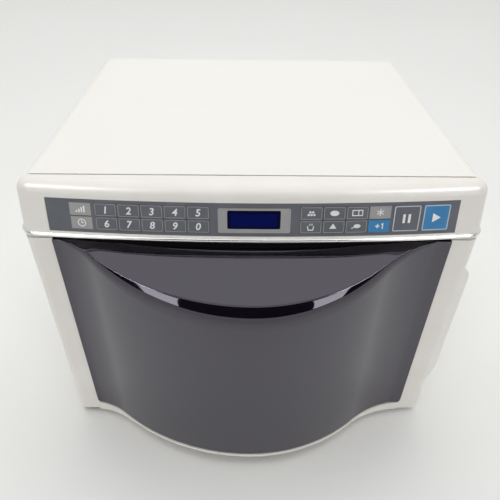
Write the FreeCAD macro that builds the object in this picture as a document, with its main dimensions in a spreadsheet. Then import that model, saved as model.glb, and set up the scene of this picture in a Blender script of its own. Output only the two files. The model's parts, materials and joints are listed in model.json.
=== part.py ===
import FreeCAD, Part
import math
import os
import re

import Sketcher
from FreeCAD import Placement, Rotation, Vector

# Countertop microwave oven with a bellied, side-hinged door.
# Appliance axes: X to the right from the plane of symmetry, Y backwards from the
# face of the door stiles, Z up from the table.  The sheet "places" holds the shift
# (mid, face) that brings the middle of the footprint to the origin of the part.

os.makedirs("parts", exist_ok=True)
doc = FreeCAD.newDocument("countertop_microwave")

SIZES = [
    ("fascia_width", 405, "width over the fascia and the door"),
    ("case_inset", 2.5, "how far the cover stands back from the fascia at each side"),
    ("case_top", 312, "height of the cover above the table"),
    ("case_depth", 319, "length of the cover"),
    ("case_corner", 12, "outer bend radius of the cover"),
    ("plate", 1, "sheet thickness of cover, cavity and base"),
    ("foot_height", 12, "height of the rubber feet"),
    ("foot_radius", 11, "radius of the rubber feet"),
    ("door_thick", 18, "thickness of the door at the stiles"),
    ("door_gap", 2, "gap between door and front plate"),
    ("door_bottom", 6, "underside of the door"),
    ("door_slit", 4.5, "dark slit between door and fascia"),
    ("stile", 25, "width of the white door stiles"),
    ("sill", 14, "height of the white rail under the dark panel"),
    ("sill_rim", 3, "thickness of the white floor of the belly"),
    ("panel_corner", 5, "radius of the lower corners of the dark panel"),
    ("belly_depth", 67, "how far the belly stands out of the door"),
    ("belly_left", 12, "how far the wave of the belly would run on past the left edge of the panel"),
    ("belly_right", 9, "how far it would run on past the right edge"),
    ("sweep_left", 75, "hollow radius where the belly runs out on the left"),
    ("sweep_right", 110, "hollow radius where the belly runs out on the right"),
    ("panel_wall", 3, "wall of the dark panel"),
    ("crest_drop", 27.3, "fall of the lip from the ends to the middle"),
    ("band_drop", 48.2, "fall of the lower edge of the lip"),
    ("lip_roll", 8.4, "depth of the rolled lip"),
    ("scoop_drop", 40, "depth of the finger scoop"),
    ("side_flare", 9, "how far the side grip stands out"),
    ("flare_low", 58, "lower end of the side grip"),
    ("flare_high", 225, "upper end of the side grip"),
    ("fascia_high", 47.9, "height of the fascia"),
    ("fascia_step", 0.6, "step from the cover down to the fascia"),
    ("fascia_nose", 11.5, "reach of the fascia in front of the stiles"),
    ("fascia_bow", 2000, "radius of the bowed front"),
    ("fascia_corner", 14, "corner radius of the fascia in plan"),
    ("fascia_lean", 12.3, "backward lean of the control panel in degrees"),
    ("fascia_wall", 3, "wall of the fascia"),
    ("fascia_roll", 11, "rounding along the top of the fascia"),
    ("bead_height", 4, "height of the bright trim"),
    ("bead_proud", 2.1, "how far the bright trim stands out"),
    ("strip_margin", 27, "white beside the control strip"),
    ("strip_high", 29.2, "height of the control strip"),
    ("strip_thick", 1, "thickness of the control strip"),
    ("key_high", 11.2, "height of a small key"),
    ("key_thick", 1.3, "thickness of a key"),
    ("key_space", 1.2, "space between two small keys"),
    ("row_pitch", 12.4, "spacing of the two rows of keys"),
    ("big_high", 23.6, "height of the two large keys"),
    ("screen_high", 17.4, "height of the display window"),
    ("left_gap", 38, "from the cover to the left oven wall"),
    ("bay_wide", 90, "room for the works on the right of the oven"),
    ("rear_gap", 34, "room behind and before the oven"),
    ("head_room", 76, "room above the oven"),
    ("cavity_floor", 36, "height of the oven floor"),
    ("tray_margin", 13.5, "room between the glass tray and the oven walls"),
    ("ring_step", 30.5, "how much smaller the roller ring is than the tray"),
    ("wheel_radius", 7.8, "radius of the rollers"),
    ("hinge_in", 9, "hinge axis inside the left edge of the door"),
    ("pin_radius", 3, "radius of the hinge pins"),
]

PLACES = [
    ("mid", "(bead_proud - side_flare) / 2"),
    ("case_front", "door_thick + door_gap + 1"),
    ("rear", "case_front + case_depth"),
    ("face", "(belly_depth + 0.6 - rear) / 2"),
    ("plate_face", "door_thick + door_gap"),
    ("half", "fascia_width / 2"),
    ("fascia_top", "case_top - fascia_step"),
    ("fascia_bottom", "fascia_top - fascia_high"),
    ("door_top", "fascia_bottom - door_slit"),
    ("strip_half", "half - strip_margin"),
    ("key_pitch", "strip_half / 9"),
    ("key_wide", "key_pitch - key_space"),
    ("big_wide", "key_pitch * 1.19"),
    ("screen_wide", "key_pitch * 2.3"),
    ("glass_half", "half - stile"),
    ("glass_low", "door_bottom + sill"),
    ("wave_left", "glass_half + belly_left"),
    ("round_left", "(wave_left ^ 2 + belly_depth ^ 2) / (2 * belly_depth) - sweep_left"),
    ("swing_left", "2 * atan(belly_depth / wave_left)"),
    ("turn_left", "round_left * sin(swing_left)"),
    ("wave_right", "glass_half + belly_right"),
    ("round_right", "(wave_right ^ 2 + belly_depth ^ 2) / (2 * belly_depth) - sweep_right"),
    ("swing_right", "2 * atan(belly_depth / wave_right)"),
    ("turn_right", "round_right * sin(swing_right)"),
    ("case_half", "half - case_inset"),
    ("cavity_left", "case_half - left_gap"),
    ("cavity_wide", "cavity_left + case_half - bay_wide"),
    ("cavity_deep", "case_depth - rear_gap"),
    ("cavity_high", "case_top - head_room - cavity_floor"),
    ("tray_radius", "min(cavity_wide; cavity_deep) / 2 - tray_margin"),
    ("ring_radius", "tray_radius - ring_step"),
    ("hinge_x", "hinge_in - half"),
    ("hinge_y", "door_thick / 2"),
    ("back_face", "rear - 6"),
    ("lean_start", "fascia_bottom + 6.4"),
    ("lean_step", "tan(fascia_lean)"),
    ("bow_y", "fascia_bow - fascia_nose"),
    ("corner_x", "half - fascia_corner"),
    ("corner_y", "bow_y - sqrt((fascia_bow - fascia_corner) ^ 2 - corner_x ^ 2)"),
    ("corner_u", "corner_x / (fascia_bow - fascia_corner)"),
    ("corner_v", "(corner_y - bow_y) / (fascia_bow - fascia_corner)"),
    ("strip_low", "lean_start + 0.4"),
    ("key_row", "strip_low + strip_high / 2"),
    ("oven_mid", "cavity_wide / 2 - cavity_left"),
    ("oven_right", "cavity_wide - cavity_left"),
    ("oven_front", "plate_face + 1.2"),
    ("spin_y", "oven_front + cavity_deep / 2 - 1"),
    ("oven_top", "cavity_floor + cavity_high"),
    ("wheel_z", "cavity_floor + wheel_radius + 0.2"),
    ("tray_z", "wheel_z + wheel_radius + 0.2"),
    ("bay_mid", "(oven_right + case_half) / 2"),
    ("fan_z", "case_top / 2 - 54"),
    ("latch_x", "bay_mid"),
    ("hook_low", "door_bottom + 70"),
    ("hook_high", "door_top - 63"),
]

WORDS = {}


def spelled(formula):
    """Put the name of its sheet in front of every word of a formula."""
    return re.sub(r"[A-Za-z_][A-Za-z_0-9]*", lambda m: WORDS.get(m.group(0), m.group(0)), str(formula))


sizes = doc.addObject("Spreadsheet::Sheet", "sizes")
for row, (word, value, meaning) in enumerate(SIZES, 1):
    sizes.set("A%d" % row, word)
    sizes.set("B%d" % row, str(value))
    sizes.set("C%d" % row, meaning)
    sizes.setAlias("B%d" % row, word)
    WORDS[word] = "sizes." + word
doc.recompute()
places = doc.addObject("Spreadsheet::Sheet", "places")
for row, (word, formula) in enumerate(PLACES, 1):
    places.set("A%d" % row, word)
    places.set("B%d" % row, "=" + spelled(formula).replace("places.", ""))
    places.setAlias("B%d" % row, word)
    WORDS[word] = "places." + word
doc.recompute()


def num(formula):
    """Value of a formula as a plain number."""
    value = sizes.evalExpression(spelled(formula))
    return float(getattr(value, "Value", value))


def bind(thing, prop, formula):
    thing.setExpression(prop, spelled(formula))


def place(thing, x, y, z, yaw="0", pitch="0", roll="0"):
    """Bind a placement given in the axes of the appliance."""
    spot = "vector(mid + (%s); face + (%s); %s)" % (x, y, z)
    turn = "rotation(%s; %s; %s)" % (yaw, pitch, roll)
    thing.setExpression("Placement", spelled("placement(%s; %s)" % (spot, turn)))


def block(x0, x1, y0, y1, z0, z1):
    """Box between pairs of coordinates."""
    thing = doc.addObject("Part::Box", "block")
    bind(thing, "Length", "(%s) - (%s)" % (x1, x0))
    bind(thing, "Width", "(%s) - (%s)" % (y1, y0))
    bind(thing, "Height", "(%s) - (%s)" % (z1, z0))
    place(thing, x0, y0, z0)
    return thing


def rod(radius, length, x, y, z, along="z"):
    """Cylinder that starts at a point and runs along x, y or z."""
    thing = doc.addObject("Part::Cylinder", "rod")
    bind(thing, "Radius", radius)
    bind(thing, "Height", length)
    pitch, roll = {"z": ("0", "0"), "x": ("90", "0"), "y": ("0", "-90")}[along]
    place(thing, x, y, z, "0", pitch, roll)
    return thing


def fuse(*things):
    whole = doc.addObject("Part::MultiFuse", "fuse")
    whole.Shapes = list(things)
    return whole


def group(*things):
    whole = doc.addObject("Part::Compound", "group")
    whole.Links = list(things)
    return whole


def overlap(base, tool):
    """Room that two solids share."""
    shared = doc.addObject("Part::Common", "overlap")
    shared.Base = base
    shared.Tool = tool
    return shared


def cut(base, *tools):
    result = doc.addObject("Part::Cut", "cut")
    result.Base = base
    result.Tool = tools[0] if len(tools) == 1 else fuse(*tools)
    return result


def rounded(base, radius, chosen):
    """Fillet the edges that the test picks."""
    doc.recompute()
    size = num(radius)
    picked = [(i, size, size) for i, edge in enumerate(base.Shape.Edges, 1) if chosen(edge)]
    result = doc.addObject("Part::Fillet", "round")
    result.Base = base
    result.Edges = picked
    return result


def bevelled(base, size, chosen):
    """Chamfer the edges that the test picks."""
    doc.recompute()
    wide = num(size)
    picked = [(i, wide, wide) for i, edge in enumerate(base.Shape.Edges, 1) if chosen(edge)]
    result = doc.addObject("Part::Chamfer", "bevel")
    result.Base = base
    result.Edges = picked
    return result


def middle(edge):
    """Middle of an edge in the axes of the appliance."""
    low, high = edge.ParameterRange
    return edge.valueAt((low + high) / 2) - Vector(num("mid"), num("face"), 0)


def runs(edge, axis):
    """True for a straight edge along an axis."""
    if not isinstance(edge.Curve, (Part.Line, Part.LineSegment)):
        return False
    way = edge.Vertexes[-1].Point - edge.Vertexes[0].Point
    return abs(abs(way.normalize().dot(axis)) - 1) < 1e-4


def draw(sketch, *loops):
    """Closed loops of bound corners (u, v, bend).  The bend is None for a straight
    edge to the next corner, or the radius of an arc, minus for a clockwise one.
    A loop of the form ("circle", u, v, radius) is a full circle."""
    for loop in loops:
        if loop[0] == "circle":
            u, v, radius = loop[1:]
            ring = Part.Circle(Vector(num(u), num(v), 0), Vector(0, 0, 1), num(radius))
            edge = sketch.addGeometry(ring)
            pin_down(sketch, edge, 3, u, v)
            rule = sketch.addConstraint(Sketcher.Constraint("Radius", edge, num(radius)))
            bind(sketch, "Constraints[%d]" % rule, radius)
            continue
        edges = []
        for corner, after in zip(loop, loop[1:] + loop[:1]):
            a = Vector(num(corner[0]), num(corner[1]), 0)
            b = Vector(num(after[0]), num(after[1]), 0)
            bend = corner[2] if len(corner) > 2 else None
            if bend is None:
                edges.append((sketch.addGeometry(Part.LineSegment(a, b)), 1, 2))
                continue
            clockwise = bend.startswith("-")
            radius = num(bend.lstrip("-"))
            chord = b - a
            rise = math.sqrt(max(radius ** 2 - chord.Length ** 2 / 4, 0))
            left = Vector(-chord.y, chord.x, 0).normalize() * rise
            centre = (a + b) / 2 + (left * -1 if clockwise else left)
            first, last = (b, a) if clockwise else (a, b)
            start = math.atan2(first.y - centre.y, first.x - centre.x)
            stop = math.atan2(last.y - centre.y, last.x - centre.x)
            arc = Part.ArcOfCircle(Part.Circle(centre, Vector(0, 0, 1), radius), start, stop)
            edge = sketch.addGeometry(arc)
            edges.append((edge, 2, 1) if clockwise else (edge, 1, 2))
            rule = sketch.addConstraint(Sketcher.Constraint("Radius", edge, radius))
            bind(sketch, "Constraints[%d]" % rule, bend.lstrip("-"))
        for (edge, start, stop), after in zip(edges, edges[1:] + edges[:1]):
            sketch.addConstraint(Sketcher.Constraint("Coincident", edge, stop, after[0], after[1]))
        for (edge, start, stop), corner in zip(edges, loop):
            pin_down(sketch, edge, start, corner[0], corner[1])


def pin_down(sketch, edge, point, u, v):
    """Bind the distances of a sketch point from the sketch origin."""
    for kind, formula, axis in (("DistanceX", u, -2), ("DistanceY", v, -1)):
        if str(formula) == "0":
            sketch.addConstraint(Sketcher.Constraint("PointOnObject", edge, point, axis))
            continue
        rule = sketch.addConstraint(Sketcher.Constraint(kind, -1, 1, edge, point, num(formula)))
        bind(sketch, "Constraints[%d]" % rule, formula)


def prism(height, x, y, z, *loops, lean=None):
    """Extrusion of plan loops upwards from a point, straight or with a lean to the back."""
    sketch = doc.addObject("Sketcher::SketchObject", "plan")
    place(sketch, x, y, z)
    draw(sketch, *loops)
    thing = doc.addObject("Part::Extrusion", "prism")
    thing.Base = sketch
    thing.DirMode = "Custom"
    thing.Dir = Vector(0, 0, 1)
    thing.Solid = True
    if lean:
        bind(thing, "Dir.y", "lean_step")
        bind(thing, "LengthFwd", "(%s) / cos(fascia_lean)" % height)
    else:
        bind(thing, "LengthFwd", height)
    return thing


def new_body(x="0", y="0", z="0"):
    body = doc.addObject("PartDesign::Body", "body")
    place(body, x, y, z)
    return body


def body_sketch(body, plane, offset, *loops):
    """Sketch on an origin plane of the body, moved along the plane's normal."""
    sketch = body.newObject("Sketcher::SketchObject", "sketch")
    base = [f for f in body.Origin.OriginFeatures if f.Role == plane + "_Plane"][0]
    sketch.AttachmentSupport = [(base, "")]
    sketch.MapMode = "FlatFace"
    if str(offset) != "0":
        bind(sketch, "AttachmentOffset.Base.z", offset)
    draw(sketch, *loops)
    return sketch


def pad(body, sketch, length, back=False):
    thing = body.newObject("PartDesign::Pad", "pad")
    thing.Profile = sketch
    bind(thing, "Length", length)
    thing.Reversed = back
    return thing


def pocket(body, sketch, length, back=False, both=False):
    thing = body.newObject("PartDesign::Pocket", "pocket")
    thing.Profile = sketch
    bind(thing, "Length", length)
    thing.Reversed = back
    if both:
        thing.SideType = "Symmetric"
    return thing


def revolve(body, sketch):
    thing = body.newObject("PartDesign::Revolution", "turned")
    thing.Profile = sketch
    thing.ReferenceAxis = (sketch, ["V_Axis"])
    thing.Angle = 360
    return thing


def polar(body, feature, count):
    thing = body.newObject("PartDesign::PolarPattern", "around")
    thing.Originals = [feature]
    base = [f for f in body.Origin.OriginFeatures if f.Role == "Z_Axis"][0]
    thing.Axis = (base, [""])
    thing.Angle = 360
    thing.Occurrences = count
    body.Tip = thing
    return thing


def linear(body, feature, axis, length, count):
    thing = body.newObject("PartDesign::LinearPattern", "row")
    thing.Originals = [feature]
    base = [f for f in body.Origin.OriginFeatures if f.Role == axis + "_Axis"][0]
    thing.Direction = (base, [""])
    bind(thing, "Length", length)
    thing.Occurrences = count
    body.Tip = thing
    return thing


def rect(u0, u1, v0, v1):
    return [(u0, v0), (u1, v0), (u1, v1), (u0, v1)]


NODES = {}


def publish(thing, label):
    """Name a finished sub-part, its label is its file name."""
    thing.Label = label
    NODES[label] = thing


def fascia_outline(inset, back):
    """Plan of the bowed fascia, drawn inwards by the inset, closed at the back."""
    u = "corner_u * (fascia_bow - (%s))" % inset
    v = "bow_y + corner_v * (fascia_bow - (%s))" % inset
    side = "half - (%s)" % inset
    bend = "fascia_corner - (%s)" % inset
    return [
        ("-(%s)" % u, v, "fascia_bow - (%s)" % inset),
        (u, v, bend),
        (side, "corner_y"),
        (side, back),
        ("-(%s)" % side, back),
        ("-(%s)" % side, "corner_y", bend),
    ]


def strip_outline(half_width, outside, inside):
    """Plan of a thin band along the bowed front, from one radius offset to another."""
    far = "bow_y - sqrt((fascia_bow + (%s)) ^ 2 - (%s) ^ 2)" % (outside, half_width)
    near = "bow_y - sqrt((fascia_bow - (%s)) ^ 2 - (%s) ^ 2)" % (inside, half_width)
    return [
        ("-(%s)" % half_width, far, "fascia_bow + (%s)" % outside),
        (half_width, far),
        (half_width, near, "-fascia_bow - (%s)" % inside),
        ("-(%s)" % half_width, near),
    ]


def belly_outline(inset, back):
    """Plan of the belly: a hollow run-out, the round front and a hollow run-out."""
    ends, turns, hollows, rounds = [], [], [], []
    for side in ("left", "right"):
        hollow = "sweep_%s + (%s)" % (side, inset)
        bow = "round_%s - (%s)" % (side, inset)
        ends.append("sqrt((%s) ^ 2 - belly_%s ^ 2) - sweep_%s" % (hollow, side, side))
        turns.append((
            "(%s) * sin(swing_%s)" % (bow, side),
            "round_%s - belly_depth - (%s) * cos(swing_%s)" % (side, bow, side),
        ))
        hollows.append("-(%s)" % hollow)
        rounds.append(bow)
    return [
        ("-glass_half", ends[0], hollows[0]),
        ("-(%s)" % turns[0][0], turns[0][1], rounds[0]),
        ("0", "(%s) - belly_depth" % inset, rounds[1]),
        (turns[1][0], turns[1][1], hollows[1]),
        ("glass_half", ends[1]),
        ("glass_half", back),
        ("-glass_half", back),
    ]


def panel_point(x, z, depth):
    """Bound placement parts of a point on the leaning panel, some depth behind its face."""
    x = "(%s)" % x
    swing = "asin(%s / fascia_bow)" % x
    y = "bow_y - sqrt(fascia_bow ^ 2 - %s ^ 2) + lean_step * ((%s) - lean_start)" % (x, z)
    inward = "(%s) * cos(fascia_lean)" % depth
    return (
        "%s - (%s) * sin(%s)" % (x, inward, swing),
        "%s + (%s) * cos(%s)" % (y, inward, swing),
        "(%s) - (%s) * sin(fascia_lean)" % (z, depth),
        swing,
    )


def panel_block(x, z, wide, high, front, deep):
    """Box square to the leaning panel, from a depth behind its face."""
    thing = doc.addObject("Part::Box", "plaque")
    bind(thing, "Length", wide)
    bind(thing, "Width", deep)
    bind(thing, "Height", high)
    px, py, pz, swing = panel_point(x, z, front)
    lean = "fascia_lean"
    px = "%s - (%s) / 2 * cos(%s) + (%s) / 2 * sin(%s) * sin(%s)" % (px, wide, swing, high, lean, swing)
    py = "%s - (%s) / 2 * sin(%s) - (%s) / 2 * sin(%s) * cos(%s)" % (py, wide, swing, high, lean, swing)
    pz = "%s - (%s) / 2 * cos(%s)" % (pz, high, lean)
    place(thing, px, py, pz, swing, "0", "-fascia_lean")
    return thing


# Folded cover with side vents and a flange for the back panel
cover = new_body()
pad(cover, body_sketch(cover, "XZ", "-case_front", [
    ("-case_half", "10"),
    ("plate - case_half", "10"),
    ("plate - case_half", "case_top - case_corner", "-case_corner - plate"),
    ("case_corner - case_half", "case_top - plate"),
    ("case_half - case_corner", "case_top - plate", "-case_corner - plate"),
    ("case_half - plate", "case_top - case_corner"),
    ("case_half - plate", "10"),
    ("case_half", "10"),
    ("case_half", "case_top - case_corner", "case_corner"),
    ("case_half - case_corner", "case_top"),
    ("case_corner - case_half", "case_top", "case_corner"),
    ("-case_half", "case_top - case_corner"),
]), "case_depth", back=True)
SCREW_LEVELS = ("44", "case_top / 2", "case_top - 44")
SCREWS = [(sign + "(case_half - 8)", level) for sign in ("-", "") for level in SCREW_LEVELS]
flanges = body_sketch(
    cover, "XZ", "2.2 - back_face",
    rect("plate - case_half", "14 - case_half", "30", "case_top - 30"),
    rect("case_half - 14", "case_half - plate", "30", "case_top - 30"),
    *[("circle", u, v, "2") for u, v in SCREWS],
)
pad(cover, flanges, "1.2", back=True)
for low in ("52", "96"):
    vent = body_sketch(cover, "YZ", "0", rect("rear - 112", "rear - 109", low, low + " + 36"))
    slot = pocket(cover, vent, "2 * case_half + 4", both=True)
    linear(cover, slot, "Y", "66", 12)
publish(cover, "outer_cover")

# Back panel with the air inlet of the fan, an outlet grille and the cord hole
back = new_body()
edge = "case_half - plate - 0.3"
pad(back, body_sketch(
    back, "XZ", "1 - back_face",
    [
        ("-(%s)" % edge, "foot_height + 1.2"),
        (edge, "foot_height + 1.2"),
        (edge, "case_top - case_corner", "case_corner - plate - 0.3"),
        ("case_half - case_corner", "case_top - plate - 0.3"),
        ("case_corner - case_half", "case_top - plate - 0.3", "case_corner - plate - 0.3"),
        ("-(%s)" % edge, "case_top - case_corner"),
    ],
    ("circle", "-120", "52", "6.4"),
    *[("circle", u, v, "2") for u, v in SCREWS],
), "1", back=True)
inlet_slot = rect("bay_mid - 30", "bay_mid - 27", "fan_z - 30", "fan_z + 30")
inlet = body_sketch(back, "XZ", "-back_face", inlet_slot)
slot = pocket(back, inlet, "6", both=True)
linear(back, slot, "X", "54", 10)
outlet = body_sketch(back, "XZ", "-back_face", rect("-130", "-127", "oven_top + 14", "oven_top + 44"))
slot = pocket(back, outlet, "6", both=True)
linear(back, slot, "X", "154", 23)
publish(back, "back_panel")

# Base plate with folded edges and studs' holes for the feet
FEET = [(sign + "(case_half - 38)", y) for y in ("case_front + 31", "rear - 46") for sign in ("-", "")]
base_edge = "(case_half - plate - 0.4)"
floor = "foot_height"
tray_sheet = fuse(
    block("-" + base_edge, base_edge, "oven_front + 2.4", "back_face - 1.2", floor, "foot_height + plate"),
    block("-" + base_edge, "1 - " + base_edge, "oven_front + 6", "back_face - 14", floor, "foot_height + 12"),
    block(base_edge + " - 1", base_edge, "oven_front + 6", "back_face - 14", floor, "foot_height + 12"),
    block("26 - case_half", "case_half - 26",
          "back_face - 2.2", "back_face - 1.2",
          floor, "foot_height + 12"),
)
publish(cut(tray_sheet, group(*[rod("3.1", "4", x, y, "foot_height - 1") for x, y in FEET])), "base_plate")
publish(group(*[
    fuse(
        bevelled(rod("foot_radius", "foot_height", x, y, "0"), "1.5", lambda e: abs(middle(e).z) < 0.01),
        rod("3", "5", x, y, "foot_height"),
    ) for x, y in FEET
]), "rubber_feet")

# Oven: steel box, front plate, feed duct on the ceiling and its cover
outer_box = rounded(
    block("-cavity_left - plate", "oven_right + plate", "oven_front", "oven_front + cavity_deep + plate",
          "cavity_floor - plate", "oven_top + plate"),
    "9", lambda e: runs(e, Vector(0, 1, 0)))
inner_box = rounded(
    block("-cavity_left", "oven_right",
          "oven_front - 2", "oven_front + cavity_deep",
          "cavity_floor", "oven_top"),
    "8", lambda e: runs(e, Vector(0, 1, 0)))
feed = ("oven_right - 74", "oven_right - 18", "spin_y - 30", "spin_y + 30", "oven_top - 2", "oven_top + 2.5")
publish(cut(outer_box, inner_box, block(*feed), rod("8", "6", "oven_mid", "spin_y", "cavity_floor - 4")),
        "oven_cavity")
plate_sheet = new_body()
HOOKS = ("hook_low", "hook_high")
pad(plate_sheet, body_sketch(
    plate_sheet, "XZ", "-plate_face",
    rect("0.3 + plate - case_half", "case_half - plate - 0.3", "foot_height + 1.2", "door_top + 1"),
    [
        ("8 - cavity_left", "cavity_floor"),
        ("oven_right - 8", "cavity_floor", "8"),
        ("oven_right", "cavity_floor + 8"),
        ("oven_right", "oven_top - 8", "8"),
        ("oven_right - 8", "oven_top"),
        ("8 - cavity_left", "oven_top", "8"),
        ("-cavity_left", "oven_top - 8"),
        ("-cavity_left", "cavity_floor + 8", "8"),
    ],
    rect("latch_x - 11", "latch_x + 11", "hook_low - 14", "hook_high + 20"),
), "1.2", back=True)
publish(plate_sheet, "front_plate")
duct_low = "oven_top + plate"
duct = cut(
    block("oven_right - 82", "case_half - plate - 4",
          "spin_y - 38", "spin_y + 38",
          duct_low, duct_low + " + 34"),
    block("oven_right - 81", "case_half - plate - 5", "spin_y - 37", "spin_y + 37",
          duct_low + " + 1", duct_low + " + 33"),
    block(*feed),
    rod("11", "4", "bay_mid", "spin_y", duct_low + " - 1"),
)
publish(duct, "feed_duct")
publish(block("oven_right - 80", "oven_right - 12",
              "spin_y - 36", "spin_y + 36",
              "oven_top - 0.8", "oven_top"),
        "feed_cover")

# Power parts in the bay on the right
tube = [
    block("bay_mid - 36", "bay_mid + 36", "spin_y - 40", "spin_y + 40", duct_low + " - 3", duct_low),
    cut(
        block("bay_mid - 36", "bay_mid + 36",
              "spin_y - 34", "spin_y + 34",
              duct_low + " - 66", duct_low + " - 2"),
        block("bay_mid - 34", "bay_mid + 34",
              "spin_y - 36", "spin_y + 36",
              duct_low + " - 64", duct_low + " - 4"),
    ),
    rod("17", "62", "bay_mid", "spin_y", duct_low + " - 65"),
    block("bay_mid - 29", "bay_mid + 29",
          "spin_y - 29", "spin_y + 29",
          duct_low + " - 98", duct_low + " - 65"),
    rod("8.5", "24", "bay_mid", "spin_y", duct_low + " - 2"),
]
for step in range(5):
    level = "%s - %d" % (duct_low, 54 - 9 * step)
    tube.append(block("bay_mid - 34.5", "bay_mid + 34.5",
                      "spin_y - 30", "spin_y + 30",
                      level, level + " + 1"))
publish(fuse(*tube), "magnetron")
deck = "foot_height + plate"
publish(fuse(
    block("bay_mid - 38", "bay_mid + 38", "oven_front + 59", "oven_front + 119", deck, deck + " + 2"),
    block("bay_mid - 34", "bay_mid + 34",
          "oven_front + 53", "oven_front + 125",
          deck + " + 2", deck + " + 62"),
    rounded(
        block("bay_mid - 26", "bay_mid + 26",
              "oven_front + 39", "oven_front + 139",
              deck + " + 14", deck + " + 50"),
        "6",
        lambda e: runs(e, Vector(0, 0, 1)),
    ),
), "hv_transformer")
publish(fuse(
    rounded(block("bay_mid - 17", "bay_mid + 17", "spin_y + 22", "spin_y + 74", deck, deck + " + 70"), "15",
            lambda e: runs(e, Vector(0, 0, 1))),
    block("bay_mid - 4", "bay_mid - 3", "spin_y + 34", "spin_y + 40", deck + " + 69", deck + " + 80"),
    block("bay_mid - 4", "bay_mid - 3", "spin_y + 54", "spin_y + 60", deck + " + 69", deck + " + 80"),
    rod("2", "4", "bay_mid + 8", "spin_y + 48", deck + " + 69"),
), "hv_capacitor")

# Cooling fan behind the inlet grille
publish(fuse(
    cut(
        block("bay_mid - 40", "bay_mid + 40",
              "back_face - 27", "back_face - 2.5",
              "fan_z - 40", "fan_z + 40"),
        rod("36", "40", "bay_mid", "back_face - 34", "fan_z", "y"),
    ),
    rod("3", "24", "bay_mid - 37", "back_face - 50", "fan_z", "y"),
    rod("3", "24", "bay_mid + 37", "back_face - 50", "fan_z", "y"),
), "fan_shroud")
publish(fuse(
    block("bay_mid - 40", "bay_mid + 40", "back_face - 52", "back_face - 50", "fan_z - 6", "fan_z + 6"),
    block("bay_mid - 24", "bay_mid + 24", "back_face - 66", "back_face - 51", "fan_z - 20", "fan_z + 20"),
    rounded(
        block("bay_mid - 14", "bay_mid + 14", "back_face - 71", "back_face - 52", "fan_z - 38", "fan_z - 18"),
        "5",
        lambda e: runs(e, Vector(1, 0, 0)),
    ),
    rod("9", "8", "bay_mid", "back_face - 51", "fan_z", "y"),
    rod("2", "42", "bay_mid", "back_face - 52", "fan_z", "y"),
), "fan_motor")
blades = [rod("8", "14", "bay_mid", "back_face - 22", "fan_z", "y")]
for step in range(5):
    turn = str(72 * step)
    vane = doc.addObject("Part::Box", "vane")
    bind(vane, "Length", "27")
    bind(vane, "Width", "1.4")
    bind(vane, "Height", "15")
    root = "(7 * cos(%s) + 7.5 * sin(%s) * cos(38))" % (turn, turn)
    rise = "(7 * sin(%s) - 7.5 * cos(%s) * cos(38))" % (turn, turn)
    spin = "rotation(vector(0; 1; 0); -%s) * rotation(vector(1; 0; 0); 38)" % turn
    spot = "vector(mid + bay_mid + %s; face + back_face - 11; fan_z + %s)" % (root, rise)
    vane.setExpression("Placement", spelled("placement(%s; %s)" % (spot, spin)))
    blades.append(vane)
publish(cut(fuse(*blades), rod("2.06", "40", "bay_mid", "back_face - 34", "fan_z", "y")), "fan_blade")

# Lamp beside the oven wall, turntable motor below the oven floor
wall = "oven_right + plate"
publish(fuse(
    block(wall, wall + " + 2", "back_face - 86", "back_face - 46", "oven_top - 46", "oven_top - 10"),
    rod("9", "18", wall + " + 1", "back_face - 66", "oven_top - 28", "x"),
    rod("11", "12", wall + " + 18", "back_face - 66", "oven_top - 28", "x"),
), "oven_lamp")
under = "cavity_floor - plate"
publish(fuse(
    rod("24.5", "14", "oven_mid", "spin_y", under + " - 14"),
    block("oven_mid - 33", "oven_mid + 33", "spin_y - 6", "spin_y + 6", under + " - 1.5", under),
    rod("6", "4", "oven_mid", "spin_y", under + " - 1"),
    rod("3.5", "16", "oven_mid", "spin_y", under + " - 2"),
), "turntable_motor")

# Turntable: coupler, glass tray, roller ring and three rollers
hub = new_body("oven_mid", "spin_y", "cavity_floor + 3.6")
hub_plan = body_sketch(hub, "XY", "0", ("circle", "0", "0", "11"), ("circle", "0", "0", "3.56"))
pad(hub, hub_plan, "tray_z - cavity_floor - 3.9")
arm = pad(hub, body_sketch(hub, "XY", "tray_z - cavity_floor - 10.4", rect("8", "24", "-4", "4")), "6.5")
polar(hub, arm, 3)
publish(hub, "drive_coupler")
tray = new_body("oven_mid", "spin_y", "tray_z")
revolve(tray, body_sketch(tray, "XZ", "0", [
    ("0", "0"),
    ("tray_radius - 14", "0"),
    ("tray_radius - 8", "1.5"),
    ("tray_radius - 1", "9.5"),
    ("tray_radius", "11"),
    ("tray_radius - 2", "12"),
    ("tray_radius - 11", "5"),
    ("tray_radius - 16", "4.2"),
    ("0", "4.2"),
]))
peg = pad(tray, body_sketch(tray, "XY", "0", ("circle", "8", "13.856", "3.6")), "5", back=True)
polar(tray, peg, 3)
publish(tray, "glass_tray")
ring = new_body("oven_mid", "spin_y", "wheel_z")
hoop = (("circle", "0", "0", "ring_radius + 3"), ("circle", "0", "0", "ring_radius - 3"))
pad(ring, body_sketch(ring, "XY", "-3", *hoop), "6")
axle = pad(ring, body_sketch(ring, "YZ", "ring_radius", ("circle", "0", "0", "2")), "14")
polar(ring, axle, 3)
publish(ring, "roller_ring")
for number, turn in enumerate((0, 120, 240), 1):
    wheel = doc.addObject("Part::Cylinder", "wheel")
    bind(wheel, "Radius", "wheel_radius")
    bind(wheel, "Height", "8")
    bore = doc.addObject("Part::Cylinder", "bore")
    bind(bore, "Radius", "2.05")
    bind(bore, "Height", "12")
    for thing, start in ((wheel, "ring_radius + 4.5"), (bore, "ring_radius + 2.5")):
        x = "oven_mid + (%s) * cos(%d)" % (start, turn)
        y = "spin_y + (%s) * sin(%d)" % (start, turn)
        place(thing, x, y, "wheel_z", str(turn), "90", "0")
    rims = bevelled(wheel, "1", lambda e: isinstance(e.Curve, Part.Circle))
    publish(cut(rims, bore), "roller_%d" % number)

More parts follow.
